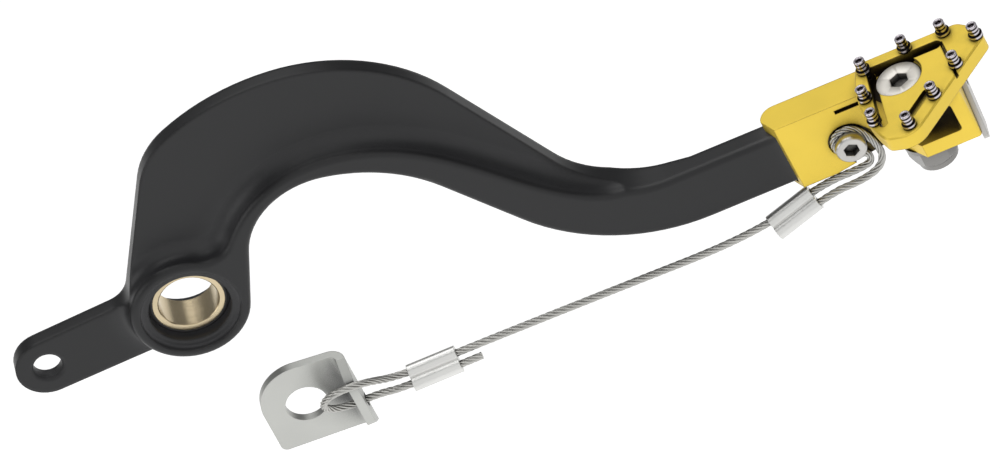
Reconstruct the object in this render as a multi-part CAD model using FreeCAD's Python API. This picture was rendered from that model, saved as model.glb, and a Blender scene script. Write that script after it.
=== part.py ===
"""Motorcycle rear brake pedal with an adjustable toothed tip and a safety cable.

The pedal lies as it is fitted on the right side of a bike, seen from outside.
X runs from the pivot to the tip, Y runs inboard along the pivot bore, Z is up.
The origin is the centre of the pivot bore. All sizes are in millimetres.
"""
import FreeCAD
import Part
import math
import os

# Fits
running_gap = 0.05            # radial play of a part that turns on its pin
face_gap = 0.25               # play between faces that slide past each other
bolt_gap = 0.2                # radial play of a bolt in its clearance hole
cord_gap = 0.1                # radial play of the cable in a sleeve or an eye

# Pedal arm: thickness, seen along Y
arm_front_y = -9.9            # flat front face
arm_web_y = -3.4              # front of the thin outer web
arm_back_y = 1.2              # back of the arm
arm_tip_back_y = -3.2         # back of the arm inside the tip holder
arm_taper_start_x = 121.0
arm_taper_end_x = 143.0
arm_end_x = 193.0

# Pedal arm: outer edge, tangent lines and arcs from the boss to the tip
outer_heading_angle = 62.5
outer_rise = 40.5
outer_shoulder_radius = 25.5
outer_shoulder_turn_angle = 39.0
outer_crown_radius = 65.5
outer_crown_turn_angle = 30.5
outer_fall_radius = 53.0
outer_fall_turn_angle = 57.5
outer_fall_length = 41.0
outer_dip_radius = 29.0
outer_lead = 5.0              # how far this edge runs down into the clevis arm

# Pedal arm: inner edge, tangent lines and arcs from the boss to the tip
inner_heading_angle = 69.0
inner_rise = 18.5
inner_hook_radius = 24.0
inner_hook_turn_angle = 83.0
inner_fall_radius = 48.0
inner_fall_turn_angle = 41.5
inner_fall_length = 27.2
inner_dip_radius = 58.0

# Pedal arm: the thick rim that follows the inner edge
rim_root_width = 9.0
rim_hook_width = 4.4
rim_hook_station = 38.0       # distance along the inner edge
rim_first_station = 6.0
rim_root_station = 20.0
rim_near_station = 34.0
rim_crown_station = 52.0
rim_fall_station = 74.0
rim_low_station = 100.0
rim_dip_station = 124.0
rim_growth_ratio = 0.108            # width gained for each millimetre past the hook
rim_end_station = 141.0
rim_off_station = 155.0
rim_run_out = 4.13            # how far past the outer edge the border leaves the arm
rim_blend_radius = 8.0
web_fillet = 4.0
rim_round = 1.6
edge_round = 1.2

# Pivot boss
boss_radius = 17.0
boss_back_radius = 14.2
boss_back_y = 9.9
boss_back_fillet = 2.0
boss_lip_radius = 14.1        # inside of the raised outer lip
boss_lip_depth = 1.6
seal_seat_radius = 11.7
bush_bore_radius = 8.5
bush_wall = 1.75
bush_length = 11.0
bush_chamfer = 0.3
seal_height = 2.3
seal_lip_width = 0.55

# Master-cylinder arm
clevis_x = -44.2
clevis_z = -4.2
clevis_end_radius = 9.2
clevis_root_half_width = 9.7
clevis_root_z = -2.6
clevis_hole_radius = 4.1
clevis_chamfer = 0.7
clevis_blend_radius = 8.0

# Tip holder: the clamp block round the end of the arm
block_start_x = 168.5
block_end_x = 196.0
block_front_y = -11.4
block_back_y = -1.4
block_flank_x = 165.4         # the end towards the pivot is cut at a slant
block_flank_y = -6.0
block_bottom_wall = 1.4
block_corner_radius = 4.4
arm_socket_gap = 0.1
block_tail_rise = 3.0
block_tail_start = 1.5        # where the lower edge starts to rise, before the counterbore
carrier_overlap = 1.0         # how far the carrier reaches into the block
slit_start_x = 185.8
slit_height = 1.3
slit_z = -21.6

# Tip holder: clamp bolt
bolt_x = 185.8
bolt_height_ratio = 0.463     # of the arm's depth, from its lower edge
bolt_radius = 2.5
bolt_head_radius = 4.45
bolt_head_height = 3.1
bolt_head_chamfer = 0.45
bolt_socket_flats = 4.0
bolt_socket_depth = 2.6
counterbore_radius = 5.85
collar_radius = 4.9
collar_height = 0.8
bolt_nut_flats = 8.0
bolt_nut_height = 4.0
bolt_end_show = 1.0
trough_angle = -55.0          # way out for the cable, below and in front of the bolt
trough_floor = 0.6            # wall left behind the cable

# Tip holder: the box that carries the tip
carrier_start_x = 205.2
carrier_end_x = 221.6
carrier_front_y = -26.0
carrier_back_y = -6.0
carrier_bottom_z = -37.1
carrier_floor = 4.7
carrier_end_wall = 4.1
carrier_roof = 3.4
window_start_x = 201.5
window_corner_radius = 1.0

# Tip and its pivot screw
pad_top_z = -14.0
pad_thickness = 4.8
screw_x = 206.7
screw_y = -16.0
screw_head_radius = 6.7
screw_head_rim = 0.5
screw_shank_radius = 4.0
screw_recess = 1.3
screw_socket_flats = 5.0
screw_socket_depth = 2.6
head_seat_gap = 0.12
washer_radius = 7.6
washer_thickness = 1.4
nut_flats = 13.0
nut_hex_height = 5.6
nut_collar_height = 2.2
nut_collar_radius = 5.9
nut_insert_wall = 1.5
screw_thread_show = 1.6

# Tip outline about the screw, before it is turned
pad_back = 11.5
pad_back_left_x = -10.4
pad_left = 12.5               # bow of the left side
pad_left_y = -4.0
pad_back_right_x = 19.8
pad_right_x = 25.3
pad_right_y = 6.8
pad_shoulder_x = 26.5
pad_shoulder_y = 2.0          # where the right edge meets the slanted side
pad_toe_x = 0.2
pad_toe_y = -26.0
pad_toe_left_x = -7.6
pad_toe_left_y = -23.0
pad_corner_radius = 3.2
pad_shoulder_radius = 2.4
pad_toe_radius = 7.0
pad_toe_left_radius = 3.0
pad_edge_round = 0.4
back_slot_width = 3.3
back_slot_y = 6.1
back_slot_end = 14.3
side_slot_width = 2.3
side_slot_x = -7.1
side_slot_end = -16.5
groove_width = 0.9            # between the hub and the right end of the tip
groove_depth = 1.2
pocket_depth = 1.4
pocket_width = 2.6
pocket_inset = 5.4            # of its middle from the slanted side
pocket_start = 6.6            # along the slanted side, from the toe
pocket_end = 15.4
hub_gap = 0.6                 # between the screw head and its recess

# Teeth of the tip: hollow steel pins screwed into the rim
pin_flange_radius = 2.05
pin_flange_height = 1.3
pin_radius = 1.6
pin_height = 4.6
pin_socket_radius = 0.85
pin_socket_depth = 1.6
pin_shank_radius = 1.25
pin_shank_length = 3.0
pin_round = 0.25
pin_inset = 2.1               # from the edge of the tip to the row of teeth
pin_back_start = 4.2
pin_back_pitch = 11.6
pin_side_start = 14.9         # along the slanted side, from the toe
pin_side_pitch = 11.8

# Steel plate on the end of the carrier
plate_thickness = 1.5
plate_front_y = -26.5
plate_width = 8.3
plate_top_z = -20.0
plate_drop = 2.7              # how far it hangs below the carrier
plate_lean_angle = 33.0             # the plate leans back from upright
plate_corner_radius = 1.2
plate_screw_radius = 1.5
plate_screw_head_radius = 2.6
plate_screw_length = 5.0

# Safety cable and its sleeves
cord_radius = 1.1
ferrule_length = 14.5
ferrule_wall = 1.05
ferrule_pitch = 3.4           # between the two wires in a sleeve
ferrule_lean_angle = 40.0           # the flat of a sleeve leans back from upright
upper_ferrule_x = 163.0
upper_ferrule_y = -13.0
upper_ferrule_z = -48.1
upper_ferrule_climb_angle = 14.0
upper_ferrule_yaw_angle = 7.0
lower_ferrule_x = 53.2
lower_ferrule_y = -15.0
lower_ferrule_z = -48.8
cord_tail = 6.5
sleeve_exit = 3.2             # straight wire past the end of a sleeve
run_bow = 46.0                # where the long run bows, past the lower sleeve
run_sag = 0.9
eye_wrap_gap = 0.8            # between the bolt and the eye round it

# Cable tab
tab_thickness = 2.6
tab_front_y = -11.0
tab_left_x = 3.5
tab_right_x = 32.0
tab_top_z = -34.2
tab_left_top_z = -30.7
tab_bottom_z = -61.2
tab_left_bottom_z = -59.2
tab_nose_radius = 12.2
tab_corner_radius = 2.0
tab_hole_x = 15.9
tab_hole_z = -46.2
tab_hole_radius = 6.0
flange_depth = 7.8
flange_hole_radius = 2.1
flange_hole_inset = 4.6
flange_hole_z = -50.2
flange_top_drop = 4.6         # the flange narrows towards its front edge
flange_bottom_rise = 5.6
flange_edge_gap = 1.0         # between the flange edge and the wire outside it
eye_front_z = -38.2           # where the wire passes in front of the flange
eye_turn_x = 28.0             # where it turns back behind the flange
eye_lead = 5.5                # straight wire before the turn
eye_exit = 8.5                # straight wire through the flange after the turn
bend_radius = 2.2             # inside of the fold


def vec(x, y, z):
    return FreeCAD.Vector(x, y, z)


def box(x0, x1, y0, y1, z0, z1):
    return Part.makeBox(x1 - x0, y1 - y0, z1 - z0, vec(x0, y0, z0))


def rod_y(radius, x, z, y0, y1):
    return Part.makeCylinder(radius, y1 - y0, vec(x, y0, z), vec(0, 1, 0))


def rod_z(radius, x, y, z0, z1):
    return Part.makeCylinder(radius, z1 - z0, vec(x, y, z0), vec(0, 0, 1))


def joined(*shapes):
    """One solid out of shapes that overlap or share faces."""
    whole = shapes[0]
    for shape in shapes[1:]:
        whole = whole.fuse(shape)
    return whole.removeSplitter().Solids[0]


def hex_y(flats, x, z, y0, y1):
    """Hexagonal bar along Y, one flat upwards."""
    reach = flats / math.sqrt(3.0)
    points = [
        vec(x + reach * math.cos(math.radians(60 * i)), y0,
            z + reach * math.sin(math.radians(60 * i)))
        for i in range(7)
    ]
    face = Part.Face(Part.makePolygon(points))
    return face.extrude(vec(0, y1 - y0, 0))


def hex_z(flats, x, y, z0, z1):
    """Hexagonal bar along Z."""
    reach = flats / math.sqrt(3.0)
    points = [
        vec(x + reach * math.cos(math.radians(60 * i)),
            y + reach * math.sin(math.radians(60 * i)), z0)
        for i in range(7)
    ]
    face = Part.Face(Part.makePolygon(points))
    return face.extrude(vec(0, 0, z1 - z0))


def walk(start, heading, steps, y):
    """Edges of straight runs and tangent arcs in the XZ plane.

    Each step is (length,) or (radius, turn); a turn above zero bends upwards.
    Returns the edges and the end point.
    """
    x, z = start
    angle = math.radians(heading)
    edges = []
    for step in steps:
        if len(step) == 1:
            end_x = x + step[0] * math.cos(angle)
            end_z = z + step[0] * math.sin(angle)
            edges.append(Part.makeLine(vec(x, y, z), vec(end_x, y, end_z)))
        else:
            radius, turn = step[0], math.radians(step[1])
            side = math.copysign(radius, turn)
            mid_angle = angle + turn / 2
            end_angle = angle + turn
            centre_x = x - side * math.sin(angle)
            centre_z = z + side * math.cos(angle)
            mid_x = centre_x + side * math.sin(mid_angle)
            mid_z = centre_z - side * math.cos(mid_angle)
            end_x = centre_x + side * math.sin(end_angle)
            end_z = centre_z - side * math.cos(end_angle)
            arc = Part.Arc(vec(x, y, z), vec(mid_x, y, mid_z), vec(end_x, y, end_z))
            edges.append(arc.toShape())
            angle = end_angle
        x, z = end_x, end_z
    return edges, (x, z)


def walk_point(start, heading, steps, distance):
    """Point and heading at a distance along the same kind of path."""
    x, z = start
    angle = math.radians(heading)
    for step in steps:
        straight = len(step) == 1
        length = step[0] if straight else step[0] * abs(math.radians(step[1]))
        share = min(max(distance / length, 0.0), 1.0) if length else 0.0
        if straight:
            x += step[0] * share * math.cos(angle)
            z += step[0] * share * math.sin(angle)
        else:
            turn = math.radians(step[1]) * share
            side = math.copysign(step[0], step[1])
            x += side * (math.sin(angle + turn) - math.sin(angle))
            z -= side * (math.cos(angle + turn) - math.cos(angle))
            angle += turn
        distance -= length
        if distance <= 0:
            break
    return x, z, angle


def boss_tangent(heading, side):
    """Point where a line with this heading leaves the boss circle."""
    angle = math.radians(heading)
    return -side * boss_radius * math.sin(angle), side * boss_radius * math.cos(angle)


def outer_steps(tail):
    level = outer_heading_angle - outer_shoulder_turn_angle - outer_crown_turn_angle - outer_fall_turn_angle
    return [
        (outer_rise,),
        (outer_shoulder_radius, -outer_shoulder_turn_angle),
        (outer_crown_radius, -outer_crown_turn_angle),
        (outer_fall_radius, -outer_fall_turn_angle),
        (outer_fall_length,),
        (outer_dip_radius, -level),
        (tail,),
    ]


def inner_steps(tail):
    level = inner_heading_angle - inner_hook_turn_angle - inner_fall_turn_angle
    return [
        (inner_rise,),
        (inner_hook_radius, -inner_hook_turn_angle),
        (inner_fall_radius, -inner_fall_turn_angle),
        (inner_fall_length,),
        (inner_dip_radius, -level),
        (tail,),
    ]


outer_start = boss_tangent(outer_heading_angle, 1)
inner_start = boss_tangent(inner_heading_angle, -1)
outer_level_x, arm_tip_top_z = walk(outer_start, outer_heading_angle, outer_steps(1.0)[:-1], 0)[1]
inner_level_x, arm_tip_bottom_z = walk(inner_start, inner_heading_angle, inner_steps(1.0)[:-1], 0)[1]
block_bottom_z = arm_tip_bottom_z - block_bottom_wall
bolt_z = arm_tip_bottom_z + bolt_height_ratio * (arm_tip_top_z - arm_tip_bottom_z)
pad_bottom_z = pad_top_z - pad_thickness
carrier_top_z = pad_bottom_z - face_gap
block_top_z = carrier_top_z
bush_radius = bush_bore_radius + bush_wall


def arm_outline():
    """Side profile of the arm between its two edges, at the front face."""
    angle = math.radians(outer_heading_angle)
    lead = (outer_start[0] - outer_lead * math.cos(angle),
            outer_start[1] - outer_lead * math.sin(angle))
    steps = [(outer_lead,)] + outer_steps(arm_end_x - outer_level_x)
    outer, outer_end = walk(lead, outer_heading_angle, steps, arm_front_y)
    inner, inner_end = walk(inner_start, inner_heading_angle, inner_steps(arm_end_x - inner_level_x),
                            arm_front_y)
    first = vec(lead[0], arm_front_y, lead[1])
    last = vec(inner_start[0], arm_front_y, inner_start[1])
    tip_top = vec(outer_end[0], arm_front_y, outer_end[1])
    tip_bottom = vec(inner_end[0], arm_front_y, inner_end[1])
    closing = [Part.makeLine(tip_top, tip_bottom), Part.makeLine(last, first)]
    return Part.Face(Part.Wire(Part.sortEdges(outer + inner + closing)[0]))


def clevis_outline():
    """Profile of the short arm to the master cylinder."""
    span = math.hypot(clevis_x, clevis_z - clevis_root_z)
    lean = math.asin((clevis_root_half_width - clevis_end_radius) / span)
    slope = math.atan2(clevis_root_z - clevis_z, -clevis_x)
    up = slope + math.pi / 2 + lean
    down = slope - math.pi / 2 - lean

    def around(x, z, radius, angle):
        return vec(x + radius * math.cos(angle), arm_front_y, z + radius * math.sin(angle))

    end_top = around(clevis_x, clevis_z, clevis_end_radius, up)
    end_nose = around(clevis_x, clevis_z, clevis_end_radius, slope + math.pi)
    end_bottom = around(clevis_x, clevis_z, clevis_end_radius, down)
    root_top = around(0, clevis_root_z, clevis_root_half_width, up)
    root_bottom = around(0, clevis_root_z, clevis_root_half_width, down)
    edges = [
        Part.Arc(end_top, end_nose, end_bottom).toShape(),
        Part.makeLine(end_bottom, root_bottom),
        Part.makeLine(root_bottom, root_top),
        Part.makeLine(root_top, end_top),
    ]
    return Part.Face(Part.Wire(edges))


def rim_width(station):
    if station < rim_hook_station:
        share = station / rim_hook_station
        return rim_root_width + (rim_hook_width - rim_root_width) * share
    return rim_hook_width + rim_growth_ratio * (station - rim_hook_station)


def rim_line_points():
    """Upper border of the thick rim, measured off the inner edge."""
    stations = [rim_first_station, rim_root_station, rim_near_station, rim_crown_station]
    stations += [rim_fall_station, rim_low_station, rim_dip_station, rim_end_station]
    points = []
    for station in stations:
        spot, across_way = rim_spot(station)
        points.append(spot + across_way * rim_width(station))
    spot, across_way = rim_spot(rim_off_station)
    points.append(spot + across_way * (arm_depth(spot, across_way) + rim_run_out))
    return points


def rim_spot(station):
    """Point of the inner edge at the web, and the direction across the arm there."""
    steps = inner_steps(rim_off_station)
    x, z, angle = walk_point(inner_start, inner_heading_angle, steps, station)
    return vec(x, arm_web_y, z), vec(-math.sin(angle), 0, math.cos(angle))


def arm_depth(spot, across_way):
    """Distance from a point of the inner edge to the outer edge."""
    far = spot + across_way * (arm_end_x / 2)
    edges = walk(outer_start, outer_heading_angle, outer_steps(rim_off_station), arm_web_y)[0]
    return Part.makeLine(spot, far).section(Part.Wire(edges)).Vertexes[0].Point.distanceToPoint(spot)


def upright_edges(shape, x, z, count=1):
    """The edges along Y that stand nearest to a point of the XZ plane."""
    found = []
    for edge in shape.Edges:
        bounds = edge.BoundBox
        if bounds.XLength < 1e-3 and bounds.ZLength < 1e-3:
            away = math.hypot(edge.CenterOfMass.x - x, edge.CenterOfMass.z - z)
            found.append((away, edge))
    found.sort(key=lambda item: item[0])
    return [edge for away, edge in found[:count]]


def edges_at_y(shape, level):
    """Edges of a shape that lie wholly in one plane across Y."""
    found = []
    for edge in shape.Edges:
        bounds = edge.BoundBox
        if abs(bounds.YMin - level) < 1e-4 and abs(bounds.YMax - level) < 1e-4:
            found.append(edge)
    return found


def web_cutter():
    """What is milled away in front of the thin web, with its round floor corner."""
    line = rim_line_points()
    curve = Part.BSplineCurve()
    curve.interpolate(line)
    far = 2.0 * arm_end_x
    ring = [
        vec(line[-1].x, arm_web_y, far),
        vec(-far, arm_web_y, far),
        vec(-far, arm_web_y, -far),
        vec(0, arm_web_y, -far),
        vec(0, arm_web_y, 0),
    ]
    edges = [curve.toShape()]
    corners = [line[-1]] + ring + [line[0]]
    for first, second in zip(corners, corners[1:]):
        edges.append(Part.makeLine(first, second))
    face = Part.Face(Part.Wire(edges))
    depth = 2.0 * (arm_web_y - arm_front_y)
    block = face.extrude(vec(0, -depth, 0))
    block = block.cut(rod_y(boss_radius, 0, 0, arm_web_y - depth - 1, arm_web_y + 1))
    root = line[1]
    corner = upright_edges(block, root.x, root.z)
    block = block.makeFillet(rim_blend_radius, corner)
    floor = [
        edge for edge in edges_at_y(block, arm_web_y)
        if edge.BoundBox.DiagonalLength < far
    ]
    return block.makeFillet(web_fillet, floor)


def back_cutter():
    """Thins the arm from behind, down to what fits the tip holder."""
    low = 2.0 * block_bottom_z
    points = [
        vec(arm_taper_start_x, arm_back_y, low),
        vec(arm_taper_end_x, arm_tip_back_y, low),
        vec(arm_end_x + 1, arm_tip_back_y, low),
        vec(arm_end_x + 1, 2 * arm_back_y, low),
        vec(arm_taper_start_x, 2 * arm_back_y, low),
        vec(arm_taper_start_x, arm_back_y, low),
    ]
    return Part.Face(Part.makePolygon(points)).extrude(vec(0, 0, -2 * low))


def chamfered_hole_y(radius, chamfer, x, z, y0, y1):
    """Hole cutter along Y with a chamfer at both faces."""
    hole = rod_y(radius, x, z, y0 - 1, y1 + 1)
    front = Part.makeCone(radius + chamfer + 1, radius, chamfer + 1, vec(x, y0 - 1, z),
                          vec(0, 1, 0))
    back = Part.makeCone(radius, radius + chamfer + 1, chamfer + 1, vec(x, y1 - chamfer, z),
                         vec(0, 1, 0))
    return hole.fuse(front).fuse(back)


def bush_end(side):
    return side * bush_length / 2


def seat_depth(side):
    """Y of the floor under a seal, whose lip is level with the end of the bush."""
    return bush_end(side) - side * seal_height


def pedal_arm():
    thickness = arm_back_y - arm_front_y
    body = arm_outline().extrude(vec(0, thickness, 0))
    clevis = clevis_outline().extrude(vec(0, thickness, 0))
    body = joined(body, clevis)
    corner = upright_edges(body, outer_start[0], outer_start[1])
    body = body.makeFillet(clevis_blend_radius, corner)
    body = joined(body, rod_y(boss_radius, 0, 0, arm_front_y, arm_back_y))
    body = body.cut(web_cutter()).cut(back_cutter()).Solids[0]
    rim = [edge for edge in edges_at_y(body, arm_front_y)
           if edge.BoundBox.XMin < arm_end_x - 1]
    body = body.makeFillet(rim_round, rim)
    body = joined(body, rod_y(boss_back_radius, 0, 0, arm_web_y, boss_back_y))
    foot = [edge for edge in edges_at_y(body, arm_back_y) if is_round(edge, boss_back_radius)]
    body = body.makeFillet(boss_back_fillet, foot)
    rear = [edge for edge in edges_at_y(body, boss_back_y)]
    body = body.makeFillet(edge_round, rear)
    body = body.cut(rod_y(bush_radius, 0, 0, arm_front_y, boss_back_y))
    front_floor = arm_front_y + boss_lip_depth
    body = body.cut(rod_y(boss_lip_radius, 0, 0, arm_front_y, front_floor))
    body = body.cut(rod_y(seal_seat_radius, 0, 0, arm_front_y, seat_depth(-1)))
    body = body.cut(rod_y(seal_seat_radius, 0, 0, seat_depth(1), boss_back_y))
    body = body.cut(chamfered_hole_y(clevis_hole_radius, clevis_chamfer, clevis_x, clevis_z,
                                     arm_web_y, arm_back_y))
    bolt_hole = bolt_radius + bolt_gap
    return body.cut(rod_y(bolt_hole, bolt_x, bolt_z, arm_front_y - 1, arm_back_y + 1))


def is_round(edge, radius):
    return edge.Curve.TypeId == "Part::GeomCircle" and abs(edge.Curve.Radius - radius) < 1e-4


def pivot_bush():
    ring = rod_y(bush_radius, 0, 0, bush_end(-1), bush_end(1))
    ring = ring.cut(rod_y(bush_bore_radius, 0, 0, bush_end(-1), bush_end(1)))
    ends = [edge for edge in ring.Edges if is_round(edge, bush_bore_radius)]
    return ring.makeChamfer(bush_chamfer, ends)


def dust_seal(side):
    """Rubber ring round the end of the bush, with a raised lip at its bore."""
    inner = bush_radius + running_gap
    outer = seal_seat_radius
    near = seat_depth(side)
    base = near + side * seal_height * 0.6
    far = near + side * seal_height
    low, high = min(near, base), max(near, base)
    ring = rod_y(outer, 0, 0, low, high).cut(rod_y(inner, 0, 0, low, high))
    low, high = min(near, far), max(near, far)
    lip = rod_y(inner + seal_lip_width, 0, 0, low, high).cut(rod_y(inner, 0, 0, low, high))
    return joined(ring, lip)


def block_outline():
    """Front view of the clamp block, its lower edge rising towards the tip."""
    points = [
        (block_flank_x, block_bottom_z),
        (bolt_x - counterbore_radius - block_tail_start, block_bottom_z),
        (block_end_x, block_bottom_z + block_tail_rise),
        (block_end_x, block_top_z),
        (block_flank_x, block_top_z),
        (block_flank_x, block_bottom_z),
    ]
    return Part.Face(Part.makePolygon([vec(x, block_front_y, z) for x, z in points]))


def block_plan():
    """Plan of the block: slanted end, then a round corner at the back."""
    points = [
        (block_start_x, block_front_y),
        (block_flank_x, block_flank_y),
        (block_flank_x, block_back_y),
        (block_end_x, block_back_y),
        (block_end_x, block_front_y),
        (block_start_x, block_front_y),
    ]
    base = Part.Face(Part.makePolygon([vec(x, y, block_bottom_z) for x, y in points]))
    plan = base.extrude(vec(0, 0, block_top_z - block_bottom_z))
    return plan.makeFillet(block_corner_radius,
                           standing_edge(plan, vec(block_flank_x, block_back_y, 0)))


def carrier_plan():
    """Plan view of the box in front of the block, seen from below."""
    points = [
        (block_end_x - carrier_overlap, block_front_y),
        (carrier_start_x, carrier_front_y),
        (carrier_end_x, carrier_front_y),
        (carrier_end_x, carrier_back_y),
        (block_end_x - carrier_overlap, carrier_back_y),
        (block_end_x - carrier_overlap, block_front_y),
    ]
    return Part.Face(Part.makePolygon([vec(x, y, carrier_bottom_z) for x, y in points]))


def tip_holder():
    block = block_outline().extrude(vec(0, block_back_y - block_front_y, 0))
    block = block.common(block_plan())
    carrier = carrier_plan().extrude(vec(0, 0, carrier_top_z - carrier_bottom_z))
    body = joined(block, carrier)
    corners = [
        edge for edge in body.Edges
        if edge.BoundBox.XLength < 1e-3 and edge.BoundBox.YLength < 1e-3
        and abs(edge.BoundBox.XMin - carrier_end_x) < 1e-3
    ]
    body = body.makeFillet(window_corner_radius, corners)
    play = arm_socket_gap
    body = body.cut(box(block_flank_x - 1, arm_end_x + play, arm_front_y - play,
                        arm_tip_back_y + play, arm_tip_bottom_z - play, arm_tip_top_z + play))
    body = body.cut(rod_y(counterbore_radius, bolt_x, bolt_z, block_front_y - 1, arm_front_y))
    body = body.cut(cable_trough())
    body = body.cut(rod_y(bolt_radius + running_gap, bolt_x, bolt_z, arm_tip_back_y,
                          block_back_y + 1))
    body = body.cut(box(slit_start_x, block_end_x + 1, block_front_y - 5, arm_front_y,
                        slit_z - slit_height / 2, slit_z + slit_height / 2))
    window = box(window_start_x, carrier_end_x - carrier_end_wall, carrier_front_y - 1,
                 carrier_back_y + 1, carrier_bottom_z + carrier_floor,
                 carrier_top_z - carrier_roof)
    along = [edge for edge in window.Edges
             if edge.BoundBox.XLength < 1e-3 and edge.BoundBox.ZLength < 1e-3]
    body = body.cut(window.makeFillet(window_corner_radius, along))
    screw_hole = rod_z(screw_shank_radius + running_gap, screw_x, screw_y,
                       carrier_bottom_z - 1, carrier_top_z + 1)
    body = body.cut(screw_hole)
    return body.cut(plate_screw_shape(0.0))


def cable_trough():
    """Shallow way out of the counterbore for the two wires of the eye."""
    reach = 3.0 * counterbore_radius
    floor = arm_front_y - arm_socket_gap - trough_floor
    low = block_front_y - 1
    trough = box(bolt_x, bolt_x + reach, low, floor,
                 bolt_z - counterbore_radius, bolt_z + counterbore_radius)
    trough.rotate(vec(bolt_x, 0, bolt_z), vec(0, 1, 0), -trough_angle)
    limit = box(bolt_x - reach, block_end_x - carrier_overlap, low, floor,
                bolt_z - reach, bolt_z + reach)
    return trough.common(limit)


def clamp_bolt():
    head_seat = arm_front_y - collar_height
    head_face = head_seat - 2 * cord_radius - cord_gap - bolt_head_height
    head = rod_y(bolt_head_radius, bolt_x, bolt_z, head_face, head_face + bolt_head_height)
    rim = [edge for edge in edges_at_y(head, head_face)]
    head = head.makeChamfer(bolt_head_chamfer, rim)
    shank_end = block_back_y + bolt_nut_height + bolt_end_show
    shank = rod_y(bolt_radius, bolt_x, bolt_z, head_face + bolt_head_height, shank_end)
    socket = hex_y(bolt_socket_flats, bolt_x, bolt_z, head_face, head_face + bolt_socket_depth)
    return joined(head, shank).cut(socket)


def clamp_collar():
    """Plain washer under the cable eye, in the floor of the counterbore."""
    low = arm_front_y - collar_height
    ring = rod_y(collar_radius, bolt_x, bolt_z, low, arm_front_y)
    return ring.cut(rod_y(bolt_radius + bolt_gap, bolt_x, bolt_z, low, arm_front_y))


def clamp_nut():
    nut = hex_y(bolt_nut_flats, bolt_x, bolt_z, block_back_y, block_back_y + bolt_nut_height)
    return nut.cut(rod_y(bolt_radius, bolt_x, bolt_z, block_back_y,
                         block_back_y + bolt_nut_height))


def at_screw(shape):
    """The tip's own drawing, moved to the screw."""
    placed = shape.copy()
    placed.translate(vec(screw_x, screw_y, 0))
    return placed


pad_toe = vec(pad_toe_x, pad_toe_y, 0)
pad_shoulder = vec(pad_shoulder_x, pad_shoulder_y, 0)
pad_back_left = vec(pad_back_left_x, pad_back, 0)
pad_back_right = vec(pad_back_right_x, pad_back, 0)
pad_right = vec(pad_right_x, pad_right_y, 0)
pad_toe_left = vec(pad_toe_left_x, pad_toe_left_y, 0)


def beside_slant(along, inset):
    """Point of the plan: distance from the toe along the slanted side, then inwards."""
    side = pad_shoulder - pad_toe
    side.normalize()
    return pad_toe + side * along + vec(-side.y, side.x, 0) * inset


def pad_outline():
    """Plan of the tip: back bar, right shoulder, slanted side, toe, bowed left side."""
    edges = [
        Part.makeLine(pad_back_left, pad_back_right),
        Part.makeLine(pad_back_right, pad_right),
        Part.makeLine(pad_right, pad_shoulder),
        Part.makeLine(pad_shoulder, pad_toe),
        Part.makeLine(pad_toe, pad_toe_left),
        Part.Arc(pad_toe_left, vec(-pad_left, pad_left_y, 0), pad_back_left).toShape(),
    ]
    return Part.Face(Part.Wire(edges))


def standing_edge(shape, spot):
    """The edge along Z that stands nearest to a point of the plan."""
    best = None
    for edge in shape.Edges:
        bounds = edge.BoundBox
        if bounds.XLength > 1e-3 or bounds.YLength > 1e-3:
            continue
        away = math.hypot(edge.CenterOfMass.x - spot.x, edge.CenterOfMass.y - spot.y)
        if best is None or away < best[0]:
            best = (away, edge)
    return [best[1]]


def pin_spots():
    """Centres of the nine teeth, each about an inset away from the outline."""
    back_y = pad_back - pin_inset
    left_x = -pad_left + pin_inset
    return [
        vec(pad_back_left_x + 0.9 * pin_inset, pad_back - 2 * pin_inset, 0),
        vec(pin_back_start, back_y, 0),
        vec(pin_back_start + pin_back_pitch, back_y, 0),
        vec(pad_right_x - 0.4 * pin_inset, pad_right_y - 1.9 * pin_inset, 0),
        beside_slant(pin_side_start + pin_side_pitch, pin_inset),
        beside_slant(pin_side_start, pin_inset),
        vec(pad_toe_x - 0.2, pad_toe_y + 2.2 * pin_inset, 0),
        vec(left_x + 1.2, pad_left_y - 5.0 * pin_inset, 0),
        vec(left_x + 0.3, pad_left_y, 0),
    ]


def plan_slot(start, end, width, low, high):
    """Cutter for a straight slot with round ends between two points of the plan."""
    run = end - start
    length = run.Length
    bar = Part.makeBox(length, width, high - low, vec(0, -width / 2, low))
    for x in (0, length):
        bar = bar.fuse(rod_z(width / 2, x, 0, low, high))
    bar.rotate(vec(0, 0, 0), vec(0, 0, 1), math.degrees(math.atan2(run.y, run.x)))
    bar.translate(vec(start.x, start.y, 0))
    return bar


def tip_pocket():
    """Shallow pocket between the hub and the bar of the slanted side."""
    return plan_slot(beside_slant(pocket_start, pocket_inset),
                     beside_slant(pocket_end, pocket_inset),
                     pocket_width, pad_top_z - pocket_depth, pad_top_z + 1)


def head_seat(gap):
    """The flat screw head as a solid, grown by a gap; its axis is at the origin."""
    top = pad_top_z - screw_recess
    grow = gap * math.sqrt(2.0)
    cone_height = screw_head_radius - screw_shank_radius
    rim = rod_z(screw_head_radius + grow, 0, 0, top - screw_head_rim, top)
    cone = Part.makeCone(screw_shank_radius + grow, screw_head_radius + grow, cone_height,
                         vec(0, 0, top - screw_head_rim - cone_height))
    return joined(rim, cone)


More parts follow.
